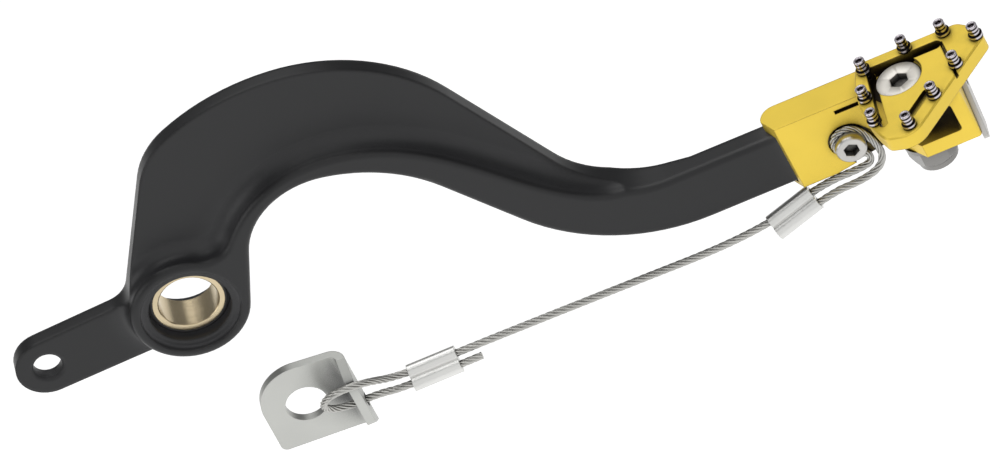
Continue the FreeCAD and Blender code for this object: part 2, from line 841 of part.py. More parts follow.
def tip_pad():
    low, high = pad_bottom_z - 1, pad_top_z + 1
    body = pad_outline().extrude(vec(0, 0, pad_thickness))
    body.translate(vec(0, 0, pad_bottom_z))
    for corner, radius in ((pad_back_left, pad_corner_radius),
                           (pad_back_right, pad_corner_radius),
                           (pad_right, pad_corner_radius),
                           (pad_shoulder, pad_shoulder_radius),
                           (pad_toe_left, pad_toe_left_radius),
                           (pad_toe, pad_toe_radius)):
        body = body.makeFillet(radius, standing_edge(body, corner))
    rims = [edge for edge in body.Edges
            if abs(edge.BoundBox.ZMin - pad_top_z) < 1e-4]
    body = body.makeChamfer(pad_edge_round, rims)
    meet_x = side_slot_x + (back_slot_width - side_slot_width) / 2
    end_x = back_slot_end - back_slot_width / 2
    body = body.cut(plan_slot(vec(meet_x, back_slot_y, 0), vec(end_x, back_slot_y, 0),
                              back_slot_width, low, high))
    body = body.cut(plan_slot(vec(side_slot_x, back_slot_y, 0),
                              vec(side_slot_x, side_slot_end, 0),
                              side_slot_width, low, high))
    body = body.cut(plan_slot(vec(back_slot_end, back_slot_y, 0),
                              beside_slant(pin_side_start + 0.65 * pin_side_pitch, -1.0),
                              groove_width, pad_top_z - groove_depth, high))
    body = body.cut(rod_z(screw_head_radius + hub_gap, 0, 0, pad_top_z - screw_recess, high))
    body = body.cut(head_seat(head_seat_gap))
    body = body.cut(rod_z(screw_shank_radius + head_seat_gap * math.sqrt(2.0), 0, 0, low, high))
    body = body.cut(tip_pocket())
    for spot in pin_spots():
        body = body.cut(rod_z(pin_shank_radius + running_gap, spot.x, spot.y,
                              pad_top_z - pin_shank_length, high))
    return at_screw(body)


def tip_pin(spot):
    flange = rod_z(pin_flange_radius, 0, 0, pad_top_z, pad_top_z + pin_flange_height)
    top = pad_top_z + pin_height
    post = rod_z(pin_radius, 0, 0, pad_top_z, top)
    shank = rod_z(pin_shank_radius, 0, 0, pad_top_z - pin_shank_length, pad_top_z)
    pin = joined(flange, post, shank)
    pin = pin.cut(rod_z(pin_socket_radius, 0, 0, top - pin_socket_depth, top + 1))
    ends = [edge for edge in pin.Edges if edge.BoundBox.ZMin > top - 1e-4]
    pin = pin.makeChamfer(pin_round, ends)
    pin.translate(spot)
    return at_screw(pin)


def tip_screw():
    top = pad_top_z - screw_recess
    bottom = nut_bottom_z() - screw_thread_show
    screw = joined(head_seat(0), rod_z(screw_shank_radius, 0, 0, bottom, top - 1))
    screw = screw.cut(hex_z(screw_socket_flats, 0, 0, top - screw_socket_depth, top + 1))
    return at_screw(screw)


def nut_bottom_z():
    return carrier_bottom_z - washer_thickness - nut_hex_height - nut_collar_height


def tip_washer():
    low = carrier_bottom_z - washer_thickness
    ring = rod_z(washer_radius, screw_x, screw_y, low, carrier_bottom_z)
    return ring.cut(rod_z(screw_shank_radius + bolt_gap, screw_x, screw_y, low,
                          carrier_bottom_z))


def tip_nut():
    top = carrier_bottom_z - washer_thickness
    bottom = nut_bottom_z()
    hexagon = hex_z(nut_flats, screw_x, screw_y, top - nut_hex_height, top)
    corner = nut_flats / math.sqrt(3.0)
    bevel = Part.makeCone(corner - nut_flats * 0.08, corner + nut_hex_height, nut_hex_height * 1.6,
                          vec(screw_x, screw_y, top - nut_hex_height))
    hexagon = hexagon.common(bevel)
    collar = rod_z(nut_collar_radius, screw_x, screw_y, bottom, top - nut_hex_height)
    nut = joined(hexagon, collar)
    nut = nut.cut(rod_z(screw_shank_radius, screw_x, screw_y, bottom, top))
    return nut.cut(rod_z(screw_shank_radius + nut_insert_wall / 2, screw_x, screw_y, bottom,
                         bottom + nut_collar_height * 0.8))


def nut_insert():
    bottom = nut_bottom_z()
    top = bottom + nut_collar_height * 0.8
    ring = rod_z(screw_shank_radius + nut_insert_wall / 2, screw_x, screw_y, bottom, top)
    return ring.cut(rod_z(screw_shank_radius, screw_x, screw_y, bottom, top))


def end_plate():
    """Leaning strip of sheet on the end of the carrier."""
    bottom = carrier_bottom_z - plate_drop
    shift = (plate_top_z - bottom) * math.tan(math.radians(plate_lean_angle))
    points = [
        vec(carrier_end_x, plate_front_y, bottom),
        vec(carrier_end_x, plate_front_y + plate_width, bottom),
        vec(carrier_end_x, plate_front_y + plate_width + shift, plate_top_z),
        vec(carrier_end_x, plate_front_y + shift, plate_top_z),
    ]
    points.append(points[0])
    plate = Part.Face(Part.makePolygon(points)).extrude(vec(plate_thickness, 0, 0))
    corners = [edge for edge in plate.Edges
               if edge.BoundBox.YLength < 1e-3 and edge.BoundBox.ZLength < 1e-3]
    plate = plate.makeFillet(plate_corner_radius, corners)
    return plate.cut(plate_screw_shape(0.0))


def plate_screw_shape(socket_depth):
    """Flat-head screw through the plate; its head is level with the plate."""
    z = carrier_bottom_z + carrier_floor + (carrier_top_z - carrier_bottom_z) * 0.3
    climb = z - (carrier_bottom_z - plate_drop)
    y = plate_front_y + plate_width / 2 + climb * math.tan(math.radians(plate_lean_angle))
    face = carrier_end_x + plate_thickness
    drop = plate_screw_head_radius - plate_screw_radius
    head = Part.makeCone(plate_screw_radius, plate_screw_head_radius, drop,
                         vec(face - drop, y, z), vec(1, 0, 0))
    shank = Part.makeCylinder(plate_screw_radius, plate_screw_length - drop,
                              vec(face - plate_screw_length, y, z), vec(1, 0, 0))
    screw = joined(head, shank)
    if socket_depth > 0:
        reach = plate_screw_radius * 0.8
        screw = screw.cut(Part.makeCylinder(reach, socket_depth + 1,
                                            vec(face - socket_depth, y, z), vec(1, 0, 0)))
    return screw


def end_plate_screw():
    return plate_screw_shape(plate_screw_radius * 0.7)


def upper_axis():
    """Direction of the upper sleeve, from the cable run towards the bolt."""
    rise = math.radians(upper_ferrule_climb_angle)
    yaw = math.radians(upper_ferrule_yaw_angle)
    return vec(math.cos(rise) * math.cos(yaw), math.sin(yaw), math.sin(rise) * math.cos(yaw))


def across(axis):
    """Direction from one wire to the other in a sleeve that runs along an axis."""
    lean = math.radians(ferrule_lean_angle)
    flat = vec(0, math.sin(lean), math.cos(lean))
    flat = flat - axis * flat.dot(axis)
    flat.normalize()
    return flat


def sleeve(centre, axis):
    """Two tubes side by side, pressed from one piece."""
    start = centre - axis * (ferrule_length / 2)
    half = across(axis) * (ferrule_pitch / 2)
    outer = cord_radius + cord_gap + ferrule_wall
    shells = [Part.makeCylinder(outer, ferrule_length, start + half * side, axis)
              for side in (1, -1)]
    body = joined(*shells)
    for side in (1, -1):
        body = body.cut(Part.makeCylinder(cord_radius + cord_gap, ferrule_length,
                                          start + half * side, axis))
    return body


upper_centre = vec(upper_ferrule_x, upper_ferrule_y, upper_ferrule_z)
lower_centre = vec(lower_ferrule_x, lower_ferrule_y, lower_ferrule_z)
lower_axis = vec(1, 0, 0)


def strand(centre, axis, side, along):
    """Point on a wire of a sleeve: side +1 or -1, distance from the middle."""
    return centre + across(axis) * (side * ferrule_pitch / 2) + axis * along


def cable_route():
    """Corner points of the cable with the longest tangent allowed at each."""
    end = ferrule_length / 2
    free = sleeve_exit
    eye_y = arm_front_y - collar_height - cord_radius - cord_gap / 2
    wrap = bolt_radius + cord_radius + eye_wrap_gap
    route = [(strand(upper_centre, upper_axis(), -1, -end), 0)]
    route.append((strand(upper_centre, upper_axis(), -1, end + free), free - 0.2))
    route.append((vec(bolt_x - 1.0, eye_y - 1.4, bolt_z - 13.9), 9))
    route.append((vec(bolt_x + 5.6, eye_y - 0.8, bolt_z - 11.7), 9))
    first, last = 112.0, 340.0
    step = (last - first) / 3
    away = vec(-math.cos(math.radians(first)), 0, -math.sin(math.radians(first)))
    touch = vec(bolt_x + wrap * math.sin(math.radians(first)), eye_y,
                bolt_z - wrap * math.cos(math.radians(first)))
    route.append((touch + away * 8.0, 9))
    for index in range(3):
        angle = math.radians(first + step * (index + 0.5))
        reach = wrap / math.cos(math.radians(step / 2))
        corner = vec(bolt_x + reach * math.sin(angle), eye_y, bolt_z - reach * math.cos(angle))
        route.append((corner, wrap * math.tan(math.radians(step / 2))))
    leave = math.radians(last)
    touch = vec(bolt_x + wrap * math.sin(leave), eye_y, bolt_z - wrap * math.cos(leave))
    spot = touch + vec(math.cos(leave), 0, math.sin(leave)) * 4.4
    heading = leave
    for index in range(3):
        route.append((spot, 1.35))
        heading -= math.radians(54.0)
        spot = spot + vec(math.cos(heading) * 2.9, -0.05, math.sin(heading) * 2.9)
    route.append((strand(upper_centre, upper_axis(), 1, end + free), free - 0.2))
    route.append((strand(upper_centre, upper_axis(), 1, -end - free - 1.5), free + 1.2))
    route.append((strand(lower_centre, lower_axis, 1, end + run_bow) + vec(0, 0.2, -run_sag), 20))
    route.append((strand(lower_centre, lower_axis, 1, end + free), free - 0.2))
    hole = vec(eye_turn_x, flange_edge_y() + flange_hole_inset, flange_hole_z)
    front = vec(eye_turn_x, flange_edge_y() - cord_radius - flange_edge_gap, eye_front_z)
    reach = (front - hole).Length / 2
    bow = reach * math.tan(math.radians(30))
    route.append((strand(lower_centre, lower_axis, 1, -end - free), free - 0.2))
    route.append((front + vec(eye_lead, 0, 0), eye_lead))
    route.append((front - vec(bow, 0, 0), bow))
    route.append(((front + hole) / 2 - vec(2 * bow, 0, 0), bow))
    route.append((hole - vec(bow, 0, 0), bow))
    route.append((hole + vec(eye_exit, 0, 0), eye_lead))
    route.append((strand(lower_centre, lower_axis, -1, -end - free), free - 0.2))
    route.append((strand(lower_centre, lower_axis, -1, end + cord_tail), 0))
    return route


def flange_edge_y():
    return tab_front_y - flange_depth


def cable_edges():
    """Straight runs joined by tangent arcs, each as large as its runs allow."""
    route = cable_route()
    points = [spot for spot, limit in route]
    edges = []
    radii = []
    here = points[0]
    for before, (spot, limit), after in zip(points, route[1:], points[2:]):
        inward = spot - before
        onward = after - spot
        shorter = min(inward.Length, onward.Length)
        inward.normalize()
        onward.normalize()
        turn = inward.getAngle(onward)
        tangent = min(0.45 * shorter, limit)
        start = spot - inward * tangent
        finish = spot + onward * tangent
        radius = tangent / math.tan(turn / 2)
        centre_way = onward - inward
        centre_way.normalize()
        centre = spot + centre_way * (radius / math.cos(turn / 2))
        back = spot - centre
        back.normalize()
        edges.append(Part.makeLine(here, start))
        edges.append(Part.Arc(start, centre + back * radius, finish).toShape())
        radii.append(radius)
        here = finish
    edges.append(Part.makeLine(here, points[-1]))
    return edges, radii


def safety_cable():
    edges, radii = cable_edges()
    path = Part.Wire(edges)
    start = edges[0].valueAt(edges[0].FirstParameter)
    way = edges[0].tangentAt(edges[0].FirstParameter)
    ring = Part.Wire(Part.makeCircle(cord_radius, start, way))
    tube = path.makePipeShell([ring], True, False)
    ideal = math.pi * cord_radius ** 2 * path.Length
    print("cable bend radii", [round(radius, 1) for radius in radii])
    print("cable length", round(path.Length, 1), "volume ratio", round(tube.Volume / ideal, 4))
    return tube


def cable_tab():
    """Bent steel tab: a flat eye plate with one side folded towards the rider."""
    back = tab_front_y + tab_thickness
    fold_x = tab_right_x - tab_thickness
    section = [
        (tab_left_x, tab_front_y),
        (fold_x, tab_front_y),
        (fold_x, flange_edge_y()),
        (tab_right_x, flange_edge_y()),
        (tab_right_x, back),
        (tab_left_x, back),
    ]
    points = [vec(x, y, tab_bottom_z) for x, y in section]
    points.append(points[0])
    height = tab_left_top_z - tab_bottom_z
    plate = Part.Face(Part.makePolygon(points)).extrude(vec(0, 0, height))
    plate = plate.makeFillet(bend_radius, standing_edge(plate, vec(fold_x, tab_front_y, 0)))
    plate = plate.makeFillet(bend_radius + tab_thickness,
                             standing_edge(plate, vec(tab_right_x, back, 0)))
    front = [
        (tab_right_x, tab_top_z),
        (tab_left_x, tab_left_top_z),
        (tab_left_x, tab_left_bottom_z),
        (tab_right_x, tab_bottom_z),
    ]
    points = [vec(x, flange_edge_y(), z) for x, z in front]
    points.append(points[0])
    reach = back - flange_edge_y()
    outline = Part.Face(Part.makePolygon(points)).extrude(vec(0, reach, 0))
    for z, radius in ((tab_left_top_z, tab_nose_radius), (tab_left_bottom_z, tab_corner_radius)):
        outline = outline.makeFillet(radius, upright_edges(outline, tab_left_x, z, 1))
    tab = joined(plate.common(outline).common(flange_outline()))
    tab = tab.cut(rod_y(tab_hole_radius, tab_hole_x, tab_hole_z, tab_front_y, back))
    hole_y = flange_edge_y() + flange_hole_inset
    hole = Part.makeCylinder(flange_hole_radius, tab_thickness + bend_radius,
                             vec(fold_x - bend_radius, hole_y, flange_hole_z), vec(1, 0, 0))
    return tab.cut(hole)


def flange_outline():
    """The tab seen from its end: the flange narrows towards its front edge."""
    back = tab_front_y + tab_thickness
    edge_y = flange_edge_y()
    points = [
        vec(tab_left_x, back, tab_left_top_z),
        vec(tab_left_x, tab_front_y, tab_left_top_z),
        vec(tab_left_x, tab_front_y - bend_radius, tab_top_z),
        vec(tab_left_x, edge_y, tab_top_z - flange_top_drop),
        vec(tab_left_x, edge_y, tab_bottom_z + flange_bottom_rise),
        vec(tab_left_x, tab_front_y, tab_bottom_z),
        vec(tab_left_x, back, tab_bottom_z),
    ]
    points.append(points[0])
    side = Part.Face(Part.makePolygon(points)).extrude(vec(tab_right_x - tab_left_x, 0, 0))
    tips = [edge for edge in side.Edges
            if edge.BoundBox.YMax < edge_y + 1e-4 and edge.BoundBox.XLength > 1]
    return side.makeFillet(tab_corner_radius, tips)


if __name__ == "__main__":
    os.makedirs("parts", exist_ok=True)
    made = {
        "pedal_arm": pedal_arm(),
        "pivot_bush": pivot_bush(),
        "outer_dust_seal": dust_seal(-1),
        "inner_dust_seal": dust_seal(1),
        "tip_holder": tip_holder(),
        "clamp_bolt": clamp_bolt(),
        "clamp_collar": clamp_collar(),
        "clamp_nut": clamp_nut(),
        "tip_pad": tip_pad(),
        "tip_screw": tip_screw(),
        "tip_washer": tip_washer(),
        "tip_nut": tip_nut(),
        "nut_insert": nut_insert(),
        "end_plate": end_plate(),
        "end_plate_screw": end_plate_screw(),
        "upper_ferrule": sleeve(upper_centre, upper_axis()),
        "lower_ferrule": sleeve(lower_centre, lower_axis),
        "safety_cable": safety_cable(),
        "cable_tab": cable_tab(),
    }
    for index, spot in enumerate(pin_spots()):
        made["tip_pin_" + str(index + 1)] = tip_pin(spot)
    for name, shape in made.items():
        solid = shape.Solids[0]
        print(name, solid.isValid(), len(shape.Solids), round(solid.Volume, 1))
        solid.exportStep("parts/" + name + ".step")
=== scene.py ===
"""Looks of a motorcycle brake pedal, dressed on its fixed frame, in metres."""

import math
from collections import namedtuple

import bmesh
import bpy
from bpy.props import FloatProperty, FloatVectorProperty, IntProperty, PointerProperty
from bpy.types import Operator, Panel, PropertyGroup
from mathutils import Matrix, Vector


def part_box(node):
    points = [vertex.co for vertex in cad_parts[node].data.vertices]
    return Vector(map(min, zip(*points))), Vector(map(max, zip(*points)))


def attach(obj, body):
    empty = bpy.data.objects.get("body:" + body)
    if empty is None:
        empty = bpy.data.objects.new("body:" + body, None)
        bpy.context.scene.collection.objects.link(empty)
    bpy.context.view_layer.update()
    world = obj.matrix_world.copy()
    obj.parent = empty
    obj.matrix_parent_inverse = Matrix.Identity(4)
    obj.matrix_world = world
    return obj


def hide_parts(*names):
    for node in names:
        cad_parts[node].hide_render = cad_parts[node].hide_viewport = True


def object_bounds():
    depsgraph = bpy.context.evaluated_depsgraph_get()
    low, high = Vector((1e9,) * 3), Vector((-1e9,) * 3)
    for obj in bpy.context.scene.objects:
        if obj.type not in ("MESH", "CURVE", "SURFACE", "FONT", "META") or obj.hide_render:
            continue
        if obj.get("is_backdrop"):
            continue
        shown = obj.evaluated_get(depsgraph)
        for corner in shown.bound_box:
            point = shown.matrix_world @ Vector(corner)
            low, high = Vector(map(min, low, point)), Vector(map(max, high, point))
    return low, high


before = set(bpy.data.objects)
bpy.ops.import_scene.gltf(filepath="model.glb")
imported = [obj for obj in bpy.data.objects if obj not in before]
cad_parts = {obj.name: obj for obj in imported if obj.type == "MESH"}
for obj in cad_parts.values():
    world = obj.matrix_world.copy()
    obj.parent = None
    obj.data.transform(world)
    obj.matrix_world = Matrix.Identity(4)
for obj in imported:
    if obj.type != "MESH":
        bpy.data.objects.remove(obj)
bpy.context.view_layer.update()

bl_info = {
    "name": "Brake pedal looks",
    "version": (1, 0, 0),
    "blender": (4, 5, 0),
    "location": "View3D > Sidebar > Brake pedal",
    "description": "Finishes, wire cable, screws and stage of an arched brake pedal",
    "category": "Object",
}

MM = 0.001
FULL_TURN = 2 * math.pi

GOLD_NODES = ("tip_holder", "tip_pad")
SEAL_NODES = ("outer_dust_seal", "inner_dust_seal")
SMALL_STEEL_NODES = ("clamp_collar", "clamp_nut", "end_plate_screw")
NUT_NODES = ("tip_washer", "tip_nut")
PIN_NODES = tuple("tip_pin_" + str(number) for number in range(1, 10))
SLEEVE_NODES = ("upper_ferrule", "lower_ferrule")

# Corners that the safety cable goes round, in millimetres, from the upper sleeve to its tail
CABLE_POINTS = (
    (156.46, -14.96, -51.08), (173.51, -12.8, -46.83), (184.8, -13.25, -46.6),
    (191.4, -12.65, -44.4), (192.88, -11.85, -38.47), (188.59, -11.85, -27.86),
    (181.78, -11.85, -28.82), (181.06, -11.85, -35.66), (188.43, -11.85, -38.34),
    (189.23, -11.9, -41.13), (187.44, -11.95, -43.41), (172.62, -10.65, -44.35),
    (151.05, -13.38, -49.73), (106.45, -13.71, -48.4), (63.65, -13.91, -47.5),
    (42.75, -13.91, -47.5), (33.5, -20.9, -38.2), (24.03, -20.9, -38.2),
    (20.07, -17.55, -44.2), (24.03, -14.2, -50.2), (36.5, -14.2, -50.2),
    (42.75, -16.09, -50.1), (66.95, -16.09, -50.1),
)
ROUTE_STEPS = 16            # steps of the smooth route between two corners
# Parts of the wire rope, as shares of its diameter, across which three strands lie
STRAND_RADIUS = 1.02 / 6.0
STRAND_RING_RADIUS = 1.98 / 6.0
STRAND_SIDES = 10

# Screws and bolts, in millimetres: radii, unless said
TIP_SHANK = 4.0
TIP_SOCKET = 5.0            # across the flats
TIP_SOCKET_RIM = 3.15       # of the bevel round it
BOLT_SHANK = 2.5
BOLT_SOCKET = 4.0           # across the flats
BOLT_SOCKET_RIM = 2.5
KNURL_DEPTH = 0.11
DRILLED_POINT = 0.2         # share of a socket's width left at its drilled bottom
TIP_LOOP_POINTS = 48
BOLT_LOOP_POINTS = 96       # two for each tooth of the knurl
# Form of a rolled thread
THREAD_STEPS = 10           # loops of points in one pitch
THREAD_FLANK = 1.3          # steepness of the flanks, which leaves a flat crest
THREAD_END = 0.35           # share of the depth left at the last loop
THREAD_RUN_OUT = 0.6        # pitches that a run-out to nothing would take
SMOOTH_ANGLE = math.radians(35.0)

# Camera, floor and soft panels, in metres unless said
SENSOR_WIDTH = 36.0         # millimetres
CLIP_START, CLIP_END = 0.1, 40.0
FLOOR_REACH = 6.0
PANEL_AIM = Vector((0.1, 0.0, -0.01))
# Name, place, width and height, and brightness of each panel
PANELS = (
    ("back_panel", (0.25, 0.95, 0.80), (0.5, 0.7), 0.2),
    ("front_panel", (0.4, -1.5, 0.95), (3.0, 2.6), 0.75),
    ("left_panel", (-0.95, -0.35, 0.35), (0.7, 0.7), 1.6),
    ("top_panel", (0.05, 0.40, 1.25), (1.2, 1.3), 1.9),
)

# Colours on sharp edges: rubbed wear on the black arm, the bronze and the sheet, and painted shade
# along the gold's edges
WORN_BLACK = (0.03, 0.03, 0.032)
GOLD_EDGE_SHADE = (0.20, 0.09, 0.01)
WORN_BRONZE = (0.75, 0.62, 0.45)
WORN_SHEET = (0.7, 0.7, 0.7)
# Colours of the painted shade in hollows and in thread roots
BLACK_HOLLOW_SHADE = (0.070, 0.070, 0.074)
GOLD_HOLLOW_SHADE = (0.02, 0.011, 0.002)
STEEL_HOLLOW_SHADE = (0.02, 0.02, 0.02)
SOCKET_HOLLOW_SHADE = (0.01, 0.01, 0.01)
SHEET_HOLLOW_SHADE = (0.10, 0.10, 0.10)
WIRE_HOLLOW_SHADE = (0.03, 0.028, 0.025)
THREAD_ROOT_SHADE = (0.012, 0.010, 0.010)
# Painted shade: the lock nut and its washer take the steel colour at this share of its brightness
NUT_SHADE_SHARE = 0.5                # brightness of the lock nut and its washer beside other steel

# Numbers that all finishes share
CLOUD_SCALE = 45.0          # clouds in a metre
CLOUD_RANGE = (0.3, 0.7)    # noise values of the darkest and the lightest cloud
ROUGHER, SMOOTHER = 0.05, 0.04   # how far clouds change the roughness
BUMP_HEIGHT = 0.00003
GRAIN_ON_RINGS = 0.3        # share of the grain that stays on turned faces
BEVEL_SAMPLES = 6
HOLLOW_SAMPLES = 8
# Cosines between the face and its rounding where an edge starts and is full
EDGE_RANGE = (0.995, 0.86)
EDGE_BREAK_RANGE = (0.35, 0.62)  # noise values of a plain and of a rubbed edge
# Painted shade of thread roots: where a band starts and is full
BAND_RANGE = (0.15, 0.35)   # parts of a pitch where a dark root starts and is full
# Distances from the pivot between which the arm's hollows are softly blended
SOFT_FROM = (0.019, 0.025)
SOFT_UNTIL = (0.120, 0.135)
SOFT_RANGE = (0.02, 0.2)    # hollow mask where the blend starts and is full

# Inputs and output of a Mix node that blends colours
MIX_FACTOR, MIX_FIRST, MIX_SECOND, MIX_RESULT = 0, 6, 7, 2
# Layout of the nodes in the editor
NODES_IN_ROW, NODE_WIDTH, NODE_HEIGHT = 8, 220, 260

# Parts of a finish, which make_finish() puts together
Turning = namedtuple("Turning", "axis pitch", defaults=(0.0003,))
# Colour on sharp edges, its strength and its noise: rubbed wear, and on the gold painted shade
RubbingAndEdgeShade = namedtuple("RubbingAndEdgeShade", "colour strength breaks", defaults=(1.0, 900.0))
# Darkening of corners and holes towards a colour, as painted shade, and the width that the arm's
# edge rounding grows to there
HollowShade = namedtuple("HollowShade", "colour reach closed open softened",
                     defaults=(0.006, 0.4, 0.86, None))


def hue(name, text, colour):
    """A colour that the user may change."""
    return FloatVectorProperty(name=name, description=text, subtype="COLOR", size=3,
                               min=0.0, max=1.0, default=colour)


def length(name, text, value):
    """A length that the user may change, in metres."""
    return FloatProperty(name=name, description=text, subtype="DISTANCE", unit="LENGTH",
                         precision=5, default=value)


def share(name, text, value):
    """A share from 0 to 1 that the user may change."""
    return FloatProperty(name=name, description=text, subtype="FACTOR", min=0.0, max=1.0,
                         default=value)


def angle(name, text, degrees):
    """An angle that the user may change."""
    return FloatProperty(name=name, description=text, subtype="ANGLE", unit="ROTATION",
                         default=math.radians(degrees))


class PedalStageSettings(PropertyGroup):
    """Camera, floor and lights"""
    azimuth: angle("Azimuth", "Camera's turn round the pedal", 10.0)
    elevation: angle("Elevation", "Camera's height over the horizon", 40.0)
    roll: angle("Roll", "Turn of the picture", -29.0)
    focal_length: FloatProperty(name="Focal length", description="Long lens, in millimetres",
                                default=760.0)
    picture_width: length("Picture width", "Width of what the camera sees", 0.27778)
    picture_right: length("Picture shift right", "Middle of the picture from the pivot", 0.08725)
    picture_up: length("Picture shift up", "Middle of the picture from the pivot", 0.01533)
    floor_gap: length("Floor gap", "Floor below the lowest point of the pedal", 0.30)
    floor_colour: hue("Floor", "Colour of the floor", (0.88, 0.88, 0.88))
    floor_glow: share("Floor glow", "Light that the table gives from below", 0.46)
    sky_strength: FloatProperty(name="Sky strength", description="Light from all round",
                                default=0.22)
    panel_strength: FloatProperty(name="Panels", description="Brightness of the soft panels",
                                  default=1.0)


class PedalFinishSettings(PropertyGroup):
    """Colours of the finishes, and the size of their grain and edges"""
    black: hue("Arm", "Anodised arm", (0.0085, 0.0087, 0.0097))
    gold: hue("Tip", "Anodised tip and holder", (0.88, 0.64, 0.075))
    bronze: hue("Bronze", "Bush in the pivot", (0.60, 0.50, 0.33))
    rubber: hue("Rubber", "Dust seals", (0.022, 0.021, 0.022))
    steel: hue("Steel", "Plated nuts and bolts, end plate", (0.50, 0.49, 0.47))
    satin: hue("Satin steel", "Tip screw", (0.74, 0.71, 0.65))
    pin: hue("Pin steel", "Teeth of the tip", (0.62, 0.58, 0.62))
    sheet: hue("Sheet", "Folded tab", (0.54, 0.545, 0.52))
    sleeve: hue("Sleeve", "Pressed sleeves on the cable", (0.70, 0.70, 0.68))
    wire: hue("Wire", "Strands of the cable", (0.50, 0.495, 0.47))
    nylon: hue("Nylon", "Ring in the lock nut", (0.10, 0.16, 0.34))
    grain: length("Grain", "Size of the blasted grain", 0.0004)
    edge: length("Edge", "Rounding that the light sees on sharp edges", 0.00035)
    # Scales the rubbed wear on edges and the painted shade along the gold's edges
    wear: share("Wear", "How far edges are rubbed", 0.25)


class PedalCableSettings(PropertyGroup):
    """Sizes of the wire rope"""
    diameter: length("Diameter", "Outside of the cable", 0.0022)
    strands: IntProperty(name="Strands", description="Outer strands", default=6, min=3, max=12)
    lay: length("Lay", "Length of one turn of a strand", 0.013)
    ring_step: length("Ring step", "Distance between two rings of the tubes", 0.0006)


class PedalThreadSettings(PropertyGroup):
    """Sizes of the rolled threads"""
    tip_pitch: length("Tip screw pitch", "Thread of the tip screw", 0.00125)
    bolt_pitch: length("Bolt pitch", "Thread of the clamp bolt", 0.0008)
    depth: share("Thread depth", "Depth as a share of the pitch", 0.5)


class Recipe:
    """A node tree under way: makes nodes in rows and joins them."""

    def __init__(self, tree):
        self.tree = tree
        self.count = 0

    def add(self, kind, **values):
        """A new node of a kind, with its settings."""
        node = self.tree.nodes.new(kind)
        row, column = divmod(self.count, NODES_IN_ROW)
        node.location = (NODE_WIDTH * column, -NODE_HEIGHT * row)
        self.count += 1
        for name, value in values.items():
            setattr(node, name, value)
        return node

    def join(self, source, target):
        """Leads the output of one node into the input of another."""
        self.tree.links.new(source, target)

    def feed(self, value, target):
        """Sets an input to a number or a colour, or joins another node's output to it."""
        if isinstance(value, bpy.types.NodeSocket):
            self.join(value, target)
        elif isinstance(value, (int, float)):
            target.default_value = value
        else:
            target.default_value = (*value, 1.0)

    def compute(self, operation, first, second=None):
        """Works out one sum, product or other operation of a Math node."""
        node = self.add("ShaderNodeMath", operation=operation)
        self.feed(first, node.inputs[0])
        if second is not None:
            self.feed(second, node.inputs[1])
        return node.outputs[0]

    def ramp(self, value, low, high, out_low=0.0, out_high=1.0):
        """Leads a value from one range into another and holds it between its ends."""
        node = self.add("ShaderNodeMapRange", clamp=True)
        for name, limit in (("Value", value), ("From Min", low), ("From Max", high),
                            ("To Min", out_low), ("To Max", out_high)):
            self.feed(limit, node.inputs[name])
        return node.outputs["Result"]

    def blend(self, factor, first, second):
        """Blends two colours by a factor."""
        node = self.add("ShaderNodeMix", data_type="RGBA")
        for value, index in ((factor, MIX_FACTOR), (first, MIX_FIRST), (second, MIX_SECOND)):
            self.feed(value, node.inputs[index])
        return node.outputs[MIX_RESULT]

    def noise(self, spot, scale, detail=2.0):
        """A noise over a place, from 0 to 1."""
        node = self.add("ShaderNodeTexNoise")
        node.inputs["Detail"].default_value = detail
        self.join(spot, node.inputs["Vector"])
        self.join(scale, node.inputs["Scale"])
        return node.outputs["Fac"]

    def split(self, spot):
        """The three parts of a place."""
        node = self.add("ShaderNodeSeparateXYZ")
        self.join(spot, node.inputs[0])
        return node.outputs

    def place_group(self, tree, **values):
        """A node group in this tree, with its own values."""
        node = self.add("ShaderNodeGroup", node_tree=tree)
        for name, value in values.items():
            self.feed(value, node.inputs[name.replace("_", " ")])
        return node


def effect(name):
    """Marks the function that builds an effect's node group, so that it is built only once."""
    def wrap(build):
        def found():
            return bpy.data.node_groups.get(name) or build(name)
        return found
    return wrap


def new_group(name, inputs, outputs):
    """Recipe of a new shader node group, what is given to it and where its results go."""
    tree = bpy.data.node_groups.new(name, "ShaderNodeTree")
    for title, kind, value in inputs:
        socket = tree.interface.new_socket(name=title, in_out="INPUT",
                                           socket_type="NodeSocket" + kind)
        if value is not None:
            socket.default_value = value
    for title, kind in outputs:
        tree.interface.new_socket(name=title, in_out="OUTPUT", socket_type="NodeSocket" + kind)
    recipe = Recipe(tree)
    return recipe, recipe.add("NodeGroupInput").outputs, recipe.add("NodeGroupOutput").inputs


# Its mask carries rubbed wear on most finishes and painted shade along the gold's edges
@effect("Rubbed edges")
def rubbed_edges(name):
    """Mask of the sharp edges, broken up by a noise, and the normal that rounds them."""
    recipe, given, result = new_group(
        name,
        (("Position", "Vector", None), ("Width", "Float", 0.0004), ("Break", "Float", 1500.0)),
        (("Mask", "Float"), ("Normal", "Vector")))
    rounding = recipe.add("ShaderNodeBevel", samples=BEVEL_SAMPLES)
    recipe.join(given["Width"], rounding.inputs["Radius"])
    plain = recipe.add("ShaderNodeNewGeometry")
    dot = recipe.add("ShaderNodeVectorMath", operation="DOT_PRODUCT")
    recipe.join(rounding.outputs["Normal"], dot.inputs[0])
    recipe.join(plain.outputs["Normal"], dot.inputs[1])
    sharp = recipe.ramp(dot.outputs["Value"], *EDGE_RANGE)
    broken = recipe.ramp(recipe.noise(given["Position"], given["Break"]), *EDGE_BREAK_RANGE)
    recipe.join(recipe.compute("MULTIPLY", sharp, broken), result["Mask"])
    recipe.join(rounding.outputs["Normal"], result["Normal"])
    return recipe.tree


